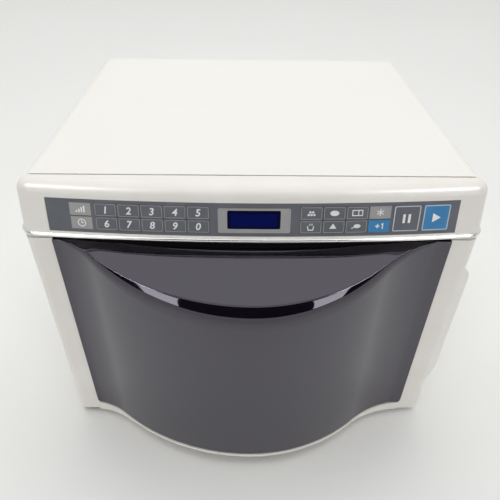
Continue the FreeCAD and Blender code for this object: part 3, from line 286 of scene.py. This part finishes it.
def display_glass():
    """Display window: deep blue filter over the dark tube, with the tube's faint grid behind it,
    and its edges in the shade of the frame."""
    finish, tree, shader, where = surface("blue_display_filter", Roughness=0.2, IOR=1.5,
                                          Specular_IOR_Level=0.05)
    grid = add(tree, "ShaderNodeTexVoronoi", {"Vector": where, "Scale": per_mm(1.5), "Randomness": 0.0})
    tones = add(tree, "ShaderNodeValToRGB", {"Fac": grid.outputs["Distance"]})
    tones.color_ramp.elements[0].color = rgb("#010A4A")
    tones.color_ramp.elements[1].color = rgb("#020E5C")
    low, high = (Vector(corner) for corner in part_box("display_window"))
    centred = add(tree, "ShaderNodeVectorMath", {0: where, 1: (low + high) / 2}, operation="SUBTRACT")
    shares = add(tree, "ShaderNodeVectorMath", {0: centred.outputs[0], 1: (high - low) / 2},
                 operation="DIVIDE")
    way = add(tree, "ShaderNodeSeparateXYZ", {"Vector": shares.outputs[0]})
    aside = add(tree, "ShaderNodeMath", {0: way.outputs["X"]}, operation="ABSOLUTE")
    above = add(tree, "ShaderNodeMath", {0: way.outputs["Z"]}, operation="ABSOLUTE")
    side_shade = add(tree, "ShaderNodeMapRange", {"Value": aside.outputs[0], "From Min": 0.8,
                                                  "From Max": 1.0})
    top_shade = add(tree, "ShaderNodeMapRange", {"Value": above.outputs[0], "From Min": 0.5,
                                                 "From Max": 0.95})
    shade = add(tree, "ShaderNodeMath", {0: side_shade.outputs[0], 1: top_shade.outputs[0]},
                operation="MAXIMUM")
    both = add(tree, "ShaderNodeMix", {"Factor": shade.outputs[0], "A": tones.outputs["Color"],
                                       "B": rgb("#020310")}, data_type="RGBA")
    tree.links.new(both.outputs["Result"], shader.inputs["Base Color"])
    return finish


def lamp_glass():
    """Small frosted lamp in its clear sleeve."""
    return mottled("frosted_lamp_glass", "#EDE6D6", "#F5F0E4", 6, (0.30, 0.45), 1, 0.05, IOR=1.5,
                   Subsurface_Weight=0.2, Subsurface_Scale=0.003)


zinc = spangled_zinc()
rolled_aluminium = brushed("rolled_aluminium", "#B4B6B8", "#CDCFD0", 0.5, (0.28, 0.42))
plated_steel = brushed("nickel_plated_steel", "#A9A7A2", "#C6C4BF", 0.4, (0.22, 0.34))
spring_steel = brushed("spring_steel", "#7B7C7E", "#A0A1A3", 0.3, (0.24, 0.36))
FINISHES = {
    "outer_cover": baked_enamel, "back_panel": zinc, "base_plate": zinc, "rubber_feet": foot_rubber,
    "oven_cavity": cavity_enamel, "front_plate": cavity_enamel, "feed_duct": zinc, "feed_cover": mica_sheet(),
    "magnetron": rolled_aluminium, "hv_transformer": stacked_iron(), "hv_capacitor": rolled_aluminium,
    "fan_motor": stacked_iron(), "fan_shroud": black_pp, "oven_lamp": lamp_glass(), "turntable_motor": zinc,
    "control_fascia": white_abs, "fascia_trim": plated_bead, "keypad_overlay": grey_membrane,
    "display_window": display_glass(), "control_board": circuit_board(), "latch_board": natural_acetal,
    "hinge_brackets": plated_steel, "cord_gland": black_pp, "case_screws": plated_steel,
    "door_frame": white_abs, "door_choke": choke_enamel, "door_screen": perforated_screen(),
    "choke_cover": black_pp, "latch_spring": spring_steel, "latch_key": natural_acetal,
    "drive_coupler": natural_acetal, "glass_tray": pressed_glass(), "roller_ring": natural_acetal,
    "roller_1": natural_acetal, "roller_2": natural_acetal, "roller_3": natural_acetal, "fan_blade": black_pp,
    "key_level": pale_print, "key_clock": pale_print, "key_thaw": pale_print,
    "key_minute": blue_print, "key_start": blue_print,
}
for name, thing in nodes.items():
    thing.data.materials.clear()
    thing.data.materials.append(FINISHES.get(name, grey_membrane))


def piece(name, work, body, *finishes):
    """Turn a worked shape into a named object that moves with a body, or is left on no body."""
    shape = bpy.data.meshes.new(name)
    work.to_mesh(shape)
    work.free()
    shape.shade_smooth()
    shape.set_sharp_from_angle(angle=math.radians(35))
    for finish in finishes:
        shape.materials.append(finish)
    thing = bpy.data.objects.new(name, shape)
    bpy.context.scene.collection.objects.link(thing)
    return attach(thing, body) if body else thing


# Dark door panel, in millimetres: the reach of its belly, half its width, its upper and lower edge,
# its lower corners' radius, and how far below the top the lip and the end of its roll lie in the middle
BELLY = 67.0
PANEL_HALF = 177.5
TOP = 259.0
LOW = 20.3
CORNER = 4.7
LIP_DROP = 27.3
ROLL_DROP = 48.2
# How far the lip stands behind the belly's front, the depth at which the flat ends, the scoop's back wall
# and the panel's back lie, and the bevel of the lower edge
LIP_BACK = 8.4
FLAT = 0.5
WALL = 2.6
BACK = 6
EDGE = 0.8
# Marks on the scoop's section in the middle of the door: reach out from the wall, and depth below the top
SCOOP = ((58.2, 33.6), (53.6, 39.4), (49.6, 38.4), (32.6, 30.3), (14.6, 20.1), (5.6, 14.1), (1.7, 10.2))
WALL_FOOT = 7.5
# Half the width of the wave at each side, and the radius of its run-out; at the ends the section keeps
# this share of its size
LEFT_WAVE = (189.5, 75)
RIGHT_WAVE = (186.5, 110)
LEAST_PART = 0.03


def belly_reach(x):
    """How far the belly stands out at a distance from the middle."""
    wave, sweep = LEFT_WAVE if x < 0 else RIGHT_WAVE
    bow = (wave ** 2 + BELLY ** 2) / (2 * BELLY) - sweep
    x = abs(x)
    if x < bow * math.sin(2 * math.atan(BELLY / wave)):
        return BELLY - bow + math.sqrt(bow ** 2 - x ** 2)
    return sweep - math.sqrt(sweep ** 2 - (wave - x) ** 2)


def arc_through(a, b, c, count):
    """Points on the circle through three points, from the first to the last."""
    d = 2 * (a.x * (b.y - c.y) + b.x * (c.y - a.y) + c.x * (a.y - b.y))
    u = (a.length_squared * (b.y - c.y) + b.length_squared * (c.y - a.y) + c.length_squared * (a.y - b.y)) / d
    v = (a.length_squared * (c.x - b.x) + b.length_squared * (a.x - c.x) + c.length_squared * (b.x - a.x)) / d
    centre = Vector((u, v))
    start = math.atan2(a.y - v, a.x - u)
    turn = (math.atan2(c.y - v, c.x - u) - start) % math.tau
    mid_turn = (math.atan2(b.y - v, b.x - u) - start) % math.tau
    if mid_turn > turn:
        turn -= math.tau
    radius = (a - centre).length
    angles = [start + turn * i / count for i in range(count + 1)]
    return [centre + radius * Vector((math.cos(t), math.sin(t))) for t in angles]


def flowing(marks, count):
    """Points on a smooth curve through given marks."""
    ends = [2 * marks[0] - marks[1]] + marks + [2 * marks[-1] - marks[-2]]
    points = []
    for a, b, c, d in zip(ends, ends[1:], ends[2:], ends[3:]):
        for i in range(count):
            t = i / count
            points.append((2 * b + (c - a) * t + (2 * a - 5 * b + 4 * c - d) * t ** 2
                           + (3 * b - a - 3 * c + d) * t ** 3) / 2)
    return points + [marks[-1]]


def panel_section(x):
    """Upright section of the panel at one place along the door, as depth and height."""
    part = max(belly_reach(x) / BELLY, LEAST_PART)
    fall = part ** 0.95
    front = FLAT - BELLY * part
    crest = Vector((front + LIP_BACK * part, TOP - LIP_DROP * fall))
    band = TOP - ROLL_DROP * part ** 0.8
    # The lip's edge is a small round from the crest over to the scoop, and the roll is an arc below it
    small = 0.15 + 1.05 * part
    inner = crest + small * Vector((1.705, -0.516))
    roll = Vector((front + 0.258 * (crest.x - front), band + 0.536 * (crest.y - band)))
    lip = crest + small * Vector((1.012, 0.266))
    wall = WALL - 0.6 * part
    scoop = [inner] + [Vector((WALL - reach * part, TOP - depth * fall)) for reach, depth in SCOOP]
    scoop.append(Vector((wall, TOP - WALL_FOOT * fall)))
    # The lower corners are round
    inside = max(0, CORNER - PANEL_HALF + abs(x))
    low = LOW + CORNER - math.sqrt(CORNER ** 2 - inside ** 2)
    points = [Vector((BACK, low)), Vector((front + EDGE, low)), Vector((front, low + EDGE))]
    points += [Vector((front, low + EDGE + (band - low - EDGE) * i / 6)) for i in range(1, 6)]
    points += arc_through(Vector((front, band)), roll, crest, 14)
    points += arc_through(crest, lip, inner, 8)[1:]
    points += flowing(scoop, 6)[1:]
    points += [Vector((wall, TOP)), Vector((BACK, TOP)), Vector((BACK, low))]
    return points


# Places of the sections along the door: close together at the ends, where the corners are round
ends = [PANEL_HALF - CORNER * (1 - math.cos(math.radians(15 * i))) for i in range(6)]
inner_end = PANEL_HALF - CORNER
along = [-x for x in ends] + [inner_end * (i / 60 - 1) for i in range(121)] + ends[::-1]
rows = len(panel_section(0)) - 1
work = bmesh.new()
bmesh.ops.create_grid(work, x_segments=len(along) - 1, y_segments=rows, size=0.5)
sections = [panel_section(x) for x in along]
for vert in work.verts:
    column = round((vert.co.x + 0.5) * (len(along) - 1))
    point = sections[column][round((vert.co.y + 0.5) * rows)]
    vert.co = spot(along[column], point.x, point.y)
bmesh.ops.remove_doubles(work, verts=work.verts, dist=1e-6)
bmesh.ops.holes_fill(work, edges=[e for e in work.edges if e.is_boundary], sides=0)
bmesh.ops.recalc_face_normals(work, faces=work.faces)
# The upright edge behind the scoop, the top and the back are painted matt near-black: painted shade of the
# dark gap under the fascia
SHADE_BAND_DEPTH = 0.9
for face in work.faces:
    face.material_index = int(face.calc_center_median().y > spot(0, SHADE_BAND_DEPTH, 0).y)
# Painted shade: near black and matt, so the panel's upper edge stays dark whatever it faces
painted_shade_acrylic = mottled("painted_shade_acrylic", "#050406", "#09080B", 12, (0.60, 0.75), 0.8, 0.03,
                           Specular_IOR_Level=0.1)
door_glass = piece("smoked_panel", work, "door", smoked_acrylic(), painted_shade_acrylic)
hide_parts("door_panel")

# Coil spring of the latch, held by the door above and the key below; the coil is left on no body
WIRE = 0.0006
TURNS = 6
STEPS = 24 * TURNS
base, crown = (Vector(corner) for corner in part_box("latch_spring"))
axle = (base + crown) / 2
rise = crown.z - base.z - 2 * WIRE
work = bmesh.new()
bmesh.ops.create_circle(work, segments=12, radius=WIRE,
                        matrix=Matrix.Translation(((crown.x - base.x) / 2 - WIRE, 0, 0))
                        @ Matrix.Rotation(math.radians(90), 4, "X"))
bmesh.ops.spin(work, geom=work.verts[:] + work.edges[:], cent=(0, 0, 0), axis=(0, 0, 1),
               dvec=(0, 0, rise / STEPS), angle=math.tau * TURNS, steps=STEPS)
bmesh.ops.holes_fill(work, edges=[e for e in work.edges if e.is_boundary])
bmesh.ops.recalc_face_normals(work, faces=work.faces)
bmesh.ops.translate(work, verts=work.verts, vec=(axle.x, axle.y, base.z + WIRE))
latch_coil = piece("latch_coil", work, None, spring_steel)
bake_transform(latch_coil)
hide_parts("latch_spring")

# Cross recess in the head of each case screw, a thin dark cross laid on the head: painted shade of the
# recess, each stopped at its own angle
# Painted shade: dark steel tones standing for the shadow in the recess
painted_recess_shade = mottled("painted_recess_shade", "#2B2C2E", "#393A3C", 4, (0.45, 0.6), 0.6, 0.02, Metallic=0.8)
HEAD_FACE = 336.2
SCREWS = [(x, z) for x in (-192, 192) for z in (44, 156, 268)]
CROSS_REACH = 0.0019
CROSS_HALF = 0.00042
work = bmesh.new()
for count, (x, z) in enumerate(SCREWS):
    star = bmesh.ops.create_grid(work, x_segments=3, y_segments=3, size=1)["verts"]
    for vert in star:
        vert.co = [math.copysign(CROSS_REACH if abs(c) > 0.5 else CROSS_HALF, c) for c in vert.co.xy] + [0]
    squares = {f for v in star for f in v.link_faces}
    corners = [f for f in squares if min(abs(c) for c in f.calc_center_median().xy) > 0.0005]
    bmesh.ops.transform(work, verts=star, matrix=Matrix.Translation(spot(x, HEAD_FACE + 0.04, z))
                        @ Matrix.Rotation(0.3 + 1.1 * count, 4, "Y")
                        @ Matrix.Rotation(math.radians(90), 4, "X"))
    bmesh.ops.delete(work, geom=corners, context="FACES")
bmesh.ops.recalc_face_normals(work, faces=work.faces)
bmesh.ops.solidify(work, geom=work.faces[:], thickness=0.00012)
bmesh.ops.recalc_face_normals(work, faces=work.faces)
piece("screw_recesses", work, "cabinet", painted_recess_shade)

# Print on the keypad, drawn flat as millimetres across and up from the middle, then laid on the bowed
# panel: its radius, how far its middle stands out, its lean and where that starts, and the row of keys
BOW = 2000.0
NOSE = 11.5
LEAN = math.radians(12.3)
LEAN_START = 269.9
KEY_ROW = 284.9
PITCH = 19.5


def on_panel(across, up, proud):
    """Point on the leaning, bowed keypad, some height above its face."""
    swing = math.asin(across / BOW)
    z = KEY_ROW + up * math.cos(LEAN)
    y = BOW - NOSE - math.sqrt(BOW ** 2 - across ** 2) + math.tan(LEAN) * (z - LEAN_START)
    out = proud * math.cos(LEAN)
    return spot(across + out * math.sin(swing), y - out * math.cos(swing), z + proud * math.sin(LEAN))


def lay(work, across, up, low, high):
    """Give flat print its thickness and lay it on the keypad round a point."""
    bmesh.ops.recalc_face_normals(work, faces=work.faces)
    raised = bmesh.ops.extrude_face_region(work, geom=list(work.faces), use_keep_orig=True)
    top = [v for v in raised["geom"] if isinstance(v, bmesh.types.BMVert)]
    bmesh.ops.translate(work, verts=top, vec=(0, 0, 1))
    for vert in work.verts:
        proud = high if vert.co.z > 0.5 else low
        vert.co = on_panel(across + vert.co.x, up + vert.co.y, proud)
    bmesh.ops.recalc_face_normals(work, faces=work.faces)


def outline(wide, high, corner, line):
    """Flat rounded frame of a line's width."""
    work = bmesh.new()
    bmesh.ops.create_grid(work, x_segments=1, y_segments=1, size=0.5)
    bmesh.ops.scale(work, vec=(wide, high, 1), verts=work.verts)
    bmesh.ops.bevel(work, geom=work.verts[:], offset=corner, offset_type="OFFSET", segments=5, profile=0.5,
                    affect="VERTICES", material=-1)
    bmesh.ops.inset_individual(work, faces=work.faces[:], thickness=line)
    inner = max(work.faces, key=lambda f: len(f.verts))
    bmesh.ops.delete(work, geom=[inner], context="FACES_ONLY")
    return work


def bar(work, x0, y0, x1, y1, line):
    """Flat stroke from one point to another."""
    way = Vector((x1 - x0, y1 - y0))
    turn = Matrix.Rotation(math.atan2(way.y, way.x), 4, "Z")
    shift = Matrix.Translation(((x0 + x1) / 2, (y0 + y1) / 2, 0))
    bmesh.ops.create_grid(work, x_segments=1, y_segments=1, size=0.5,
                          matrix=shift @ turn @ Matrix.Diagonal((way.length, line, 1, 1)))


def dot(work, x, y, radius, tall=1.0, sides=24, turn=0):
    """Flat round or oval spot, or a regular shape with few sides."""
    flat = Matrix.Translation((x, y, 0)) @ Matrix.Diagonal((1, tall, 1, 1))
    bmesh.ops.create_circle(work, cap_ends=True, segments=sides, radius=radius,
                            matrix=flat @ Matrix.Rotation(math.radians(turn), 4, "Z"))


def ring(work, x, y, radius, line):
    """Flat ring, made of short strokes."""
    steps = 20
    for i in range(steps):
        a, b = math.tau * i / steps, math.tau * (i + 1.15) / steps
        bar(work, x + radius * math.cos(a), y + radius * math.sin(a),
            x + radius * math.cos(b), y + radius * math.sin(b), line)


def figure(text, size):
    """Flat slanted figure, centred on its own middle."""
    curve = bpy.data.curves.new("figure", "FONT")
    curve.body = text
    curve.size = size
    curve.shear = 0.16
    curve.offset = size * 0.02
    curve.align_x = "CENTER"
    curve.align_y = "CENTER"
    thing = bpy.data.objects.new("figure", curve)
    bpy.context.scene.collection.objects.link(thing)
    shape = bpy.data.meshes.new_from_object(thing.evaluated_get(bpy.context.evaluated_depsgraph_get()))
    work = bmesh.new()
    work.from_mesh(shape)
    bpy.data.objects.remove(thing)
    bpy.data.curves.remove(curve)
    bpy.data.meshes.remove(shape)
    bmesh.ops.remove_doubles(work, verts=work.verts, dist=1e-4)
    low = Vector((min(v.co.x for v in work.verts), min(v.co.y for v in work.verts)))
    high = Vector((max(v.co.x for v in work.verts), max(v.co.y for v in work.verts)))
    bmesh.ops.translate(work, verts=work.verts, vec=(-(low.x + high.x) / 2, -(low.y + high.y) / 2, 0))
    return work


def sign(name):
    """Plain sign for a key with no figure."""
    work = bmesh.new()
    if name == "key_level":
        for i in range(4):
            bar(work, i * 2.2 - 3.3, -3, i * 2.2 - 3.3, -1.2 + i * 1.4, 1.3)
    elif name == "key_clock":
        ring(work, 0, 0, 3.2, 0.8)
        bar(work, 0, -0.2, 0, 2.1, 0.8)
        bar(work, -0.2, 0, 1.7, 0, 0.8)
    elif name == "key_menu_1":
        for x, y in ((-2.4, -1.3), (0, -1.3), (2.4, -1.3), (-1.2, 1.1), (1.2, 1.1)):
            dot(work, x, y, 1.0)
    elif name == "key_menu_2":
        dot(work, 0, 0, 3.9, 0.62)
    elif name == "key_menu_3":
        bar(work, -4.2, 2.3, 4.2, 2.3, 0.8)
        bar(work, -4.2, -2.3, 4.2, -2.3, 0.8)
        bar(work, -4.2, -2.7, -4.2, 2.7, 0.8)
        bar(work, 4.2, -2.7, 4.2, 2.7, 0.8)
        bar(work, 0.8, -2.3, 0.8, 2.3, 0.8)
    elif name == "key_menu_4":
        bar(work, -2.4, -2.7, 2.0, -2.7, 1.0)
        bar(work, -2.8, 1.0, -2.2, -3.0, 0.9)
        bar(work, 2.4, 1.0, 1.8, -3.0, 0.9)
        bar(work, -1.1, 1.4, -0.7, 3.2, 0.7)
        bar(work, 0.7, 1.4, 1.1, 3.2, 0.7)
    elif name == "key_menu_5":
        dot(work, -0.6, 0, 3.6, 0.9, 3)
    elif name == "key_menu_6":
        dot(work, 0.6, 0.4, 3.0, 0.6)
        bar(work, -4.2, -1.6, -1.0, -0.1, 0.8)
    elif name == "key_thaw":
        for i in range(3):
            a = math.pi / 6 + i * math.pi / 3
            bar(work, -3.3 * math.cos(a), -3.3 * math.sin(a), 3.3 * math.cos(a), 3.3 * math.sin(a), 0.8)
    elif name == "key_minute":
        bar(work, -3.2, 0, 0.6, 0, 0.9)
        bar(work, -1.3, -1.9, -1.3, 1.9, 0.9)
        bar(work, 3.2, -2.6, 3.2, 2.6, 1.0)
        bar(work, 1.9, 1.4, 3.4, 2.5, 0.8)
    elif name == "key_pause":
        bar(work, -2.3, -4, -2.3, 4, 2.2)
        bar(work, 2.3, -4, 2.3, 4, 2.2)
    elif name == "key_start":
        dot(work, -0.8, 0, 4.8, 1.0, 3, -90)
    return work


# Half the distance between the two rows, the height of the figures, the outlines' width, height, corner
# and line, and how high the ink stands
ROW = 6.2
FIGURE = 8.9
SMALL_FRAME = (17.9, 10.8, 1.3, 0.5)
LARGE_FRAME = (22.8, 23.2, 1.6, 0.95)
INK_LOW = 0.1
MARK_HIGH = 0.28
LINE_HIGH = 0.27
KEYS = [("key_%d" % (i + 1), PITCH * (i - 6.395), ROW, str(i + 1)) for i in range(5)]
KEYS += [("key_%d" % ((i + 6) % 10), PITCH * (i - 6.395), -ROW, str((i + 6) % 10)) for i in range(5)]
KEYS += [("key_level", PITCH * -7.49, ROW, ""), ("key_clock", PITCH * -7.49, -ROW, "")]
KEYS += [("key_menu_%d" % (i + 1), PITCH * (i + 2.49), ROW, "") for i in range(3)]
KEYS += [("key_menu_%d" % (i + 4), PITCH * (i + 2.49), -ROW, "") for i in range(3)]
KEYS += [("key_thaw", PITCH * 5.49, ROW, ""), ("key_minute", PITCH * 5.49, -ROW, "")]
KEYS += [("key_pause", PITCH * 6.69, 0, ""), ("key_start", PITCH * 8.015, 0, "")]
UNLINED = ("key_level", "key_clock", "key_thaw", "key_minute")
for name, across, up, text in KEYS:
    body = body_of_node[name]
    mark = figure(text, FIGURE) if text else sign(name)
    lay(mark, across, up, INK_LOW, MARK_HIGH)
    piece(name + "_mark", mark, body, white_ink)
    if name in UNLINED:
        continue
    large = name in ("key_pause", "key_start")
    frame_line = outline(*(LARGE_FRAME if large else SMALL_FRAME))
    lay(frame_line, across, up, INK_LOW, LINE_HIGH)
    piece(name + "_line", frame_line, body, pale_ink if large else line_ink)

# Pale surround of the display, which laps over the window's edges: width, height, corner and place of its
# outer edge and of its opening. It is cut across so that it bends with the panel
SURROUND = ((61.4, 22.2, 1.6, 0.5, -0.6), (45.0, 16.7, 1.4, 0.2, 0.3))
SURROUND_LOW = -0.03
SURROUND_HIGH = 0.17
work = bmesh.new()
for wide, high, corner, aside, up in SURROUND:
    place = Matrix.Translation((aside, up, 0)) @ Matrix.Diagonal((wide, high, 1, 1))
    edge = bmesh.ops.create_grid(work, x_segments=1, y_segments=1, size=0.5, matrix=place)
    bmesh.ops.bevel(work, geom=edge["verts"], offset=corner, offset_type="OFFSET", segments=5, profile=0.5,
                    affect="VERTICES", material=-1)
bmesh.ops.delete(work, geom=work.faces[:], context="FACES_ONLY")
bmesh.ops.bridge_loops(work, edges=work.edges[:])
for x in (-26, -15, -7.5, 0, 7.5, 15, 26):
    bmesh.ops.bisect_plane(work, geom=work.verts[:] + work.edges[:] + work.faces[:], plane_co=(x, 0, 0),
                           plane_no=(1, 0, 0))
lay(work, 0, 0, SURROUND_LOW, SURROUND_HIGH)
piece("display_surround", work, "cabinet", pale_print)

# Studio: a pale floor, a curved dark screen in front with paler wings, and soft lamps
floor_paint, tree, shader, where = surface("pale_floor_paint", Roughness=0.6, IOR=1.4)
cloud = add(tree, "ShaderNodeTexNoise", {"Vector": where, "Scale": per_mm(700), "Detail": 2.0})
tones = add(tree, "ShaderNodeValToRGB", {"Fac": cloud.outputs["Fac"]})
tones.color_ramp.elements[0].color = rgb("#EDEDEB")
tones.color_ramp.elements[1].color = rgb("#F2F2F0")
tree.links.new(tones.outputs["Color"], shader.inputs["Base Color"])

screen_cloth, tree, shader, where = surface("dark_screen_cloth", Roughness=0.9, IOR=1.2)
way = add(tree, "ShaderNodeSeparateXYZ", {"Vector": where})
aside = add(tree, "ShaderNodeMath", {0: way.outputs["X"]}, operation="ABSOLUTE")
wing = add(tree, "ShaderNodeMapRange", {"Value": aside.outputs[0], "From Min": 1.75, "From Max": 1.98})
tones = add(tree, "ShaderNodeValToRGB", {"Fac": wing.outputs[0]})
tones.color_ramp.elements[0].color = rgb("#121214")
tones.color_ramp.elements[1].color = rgb("#A8A8AA")
tree.links.new(tones.outputs["Color"], shader.inputs["Base Color"])


def studio_sheet(name, work, material):
    """Hand a finished bmesh to the stage as a sheet that is no part of the oven."""
    sheet = bpy.data.meshes.new(name)
    work.to_mesh(sheet)
    work.free()
    sheet.materials.append(material)
    thing = bpy.data.objects.new(name, sheet)
    bpy.context.scene.collection.objects.link(thing)
    return thing


work = bmesh.new()
bmesh.ops.create_grid(work, x_segments=1, y_segments=1, size=6)
studio_sheet("floor", work, floor_paint)

# The smoked door mirrors the screen; the camera looks past it, so all views have the pale room behind
SCREEN_AWAY = 2.0
SCREEN_FOOT = 0.42
SCREEN_HEAD = 2.8
SCREEN_SWEEP = math.radians(170)
work = bmesh.new()
pole_ends = [work.verts.new((0, -SCREEN_AWAY, z)) for z in (SCREEN_FOOT, SCREEN_HEAD)]
pole = work.edges.new(pole_ends)
bmesh.ops.rotate(work, verts=pole_ends, cent=(0, 0, 0), matrix=Matrix.Rotation(-SCREEN_SWEEP / 2, 3, "Z"))
bmesh.ops.spin(work, geom=pole_ends + [pole], cent=(0, 0, 0), axis=(0, 0, 1), angle=SCREEN_SWEEP, steps=34)
studio_sheet("dark_screen", work, screen_cloth).visible_camera = False


def lamp(name, place, aim, wide, high, power):
    """Soft rectangular lamp that points at a place."""
    light = bpy.data.lights.new(name, "AREA")
    light.shape = "RECTANGLE"
    light.size = wide
    light.size_y = high
    light.energy = power
    thing = bpy.data.objects.new(name, light)
    thing.location = place
    thing.rotation_euler = (Vector(aim) - Vector(place)).to_track_quat("-Z", "Y").to_euler()
    bpy.context.scene.collection.objects.link(thing)
    return thing


lamp("overhead", (0, 0.26, 1.9), (0, 0.26, 0.1), 2.0, 1.6, 13).visible_glossy = False
for side in (-1, 1):
    # Tall lamp on either side of the front, whose mirror images end the black of the lip
    lamp("front_lamp", (0.9 * side, -1.4, 0.87), (0, 0, 0.2), 0.42, 0.9, 3.8)
    # High lamp beyond each corner, whose mirror image is the bright line along the lip
    lamp("corner_lamp", (0.985 * side, -0.85, 1.55), (0.125 * side, -0.177, 0.245), 0.65, 0.5,
         18).visible_diffuse = False

# Pale room, brighter straight above
room = bpy.data.worlds.new("room")
room.use_nodes = True
tree = room.node_tree
tree.nodes.clear()
way = add(tree, "ShaderNodeSeparateXYZ", {"Vector": add(tree, "ShaderNodeTexCoord").outputs["Generated"]})
glow = add(tree, "ShaderNodeMapRange", {"Value": way.outputs["Z"], "From Min": 0.8, "From Max": 0.88,
                                        "To Min": 0.75, "To Max": 1.25})
back = add(tree, "ShaderNodeBackground", {"Color": rgb("#F6F6F5"), "Strength": glow.outputs[0]})
add(tree, "ShaderNodeOutputWorld", {"Surface": back.outputs[0]})
bpy.context.scene.world = room
bpy.context.scene.view_settings.view_transform = "Standard"

# Camera at the photograph's place: angles in radians, place in the appliance's millimetres, and its focal
# length in pixels of a picture 500 pixels wide
YAW, PITCH_DOWN, ROLL = 0.0177302217, 0.659490126, -0.0164799184
STANDPOINT = (-8.76781387, -350.531836, 518.73358)
FOCAL = 491.652541
PICTURE = 500
SENSOR = 36
ahead = Vector((math.sin(YAW) * math.cos(PITCH_DOWN), math.cos(YAW) * math.cos(PITCH_DOWN),
                -math.sin(PITCH_DOWN)))
level = Vector((math.cos(YAW), -math.sin(YAW), 0))
down = ahead.cross(level)
right = math.cos(ROLL) * level + math.sin(ROLL) * down
below = math.cos(ROLL) * down - math.sin(ROLL) * level
view = bpy.data.cameras.new("camera")
view.lens = FOCAL * SENSOR / PICTURE
view.sensor_width = SENSOR
camera = bpy.data.objects.new("camera", view)
camera.matrix_world = Matrix.Translation(spot(*STANDPOINT)) @ Matrix(
    (right, -below, -ahead)).transposed().to_4x4()
bpy.context.scene.collection.objects.link(camera)
bpy.context.scene.camera = camera
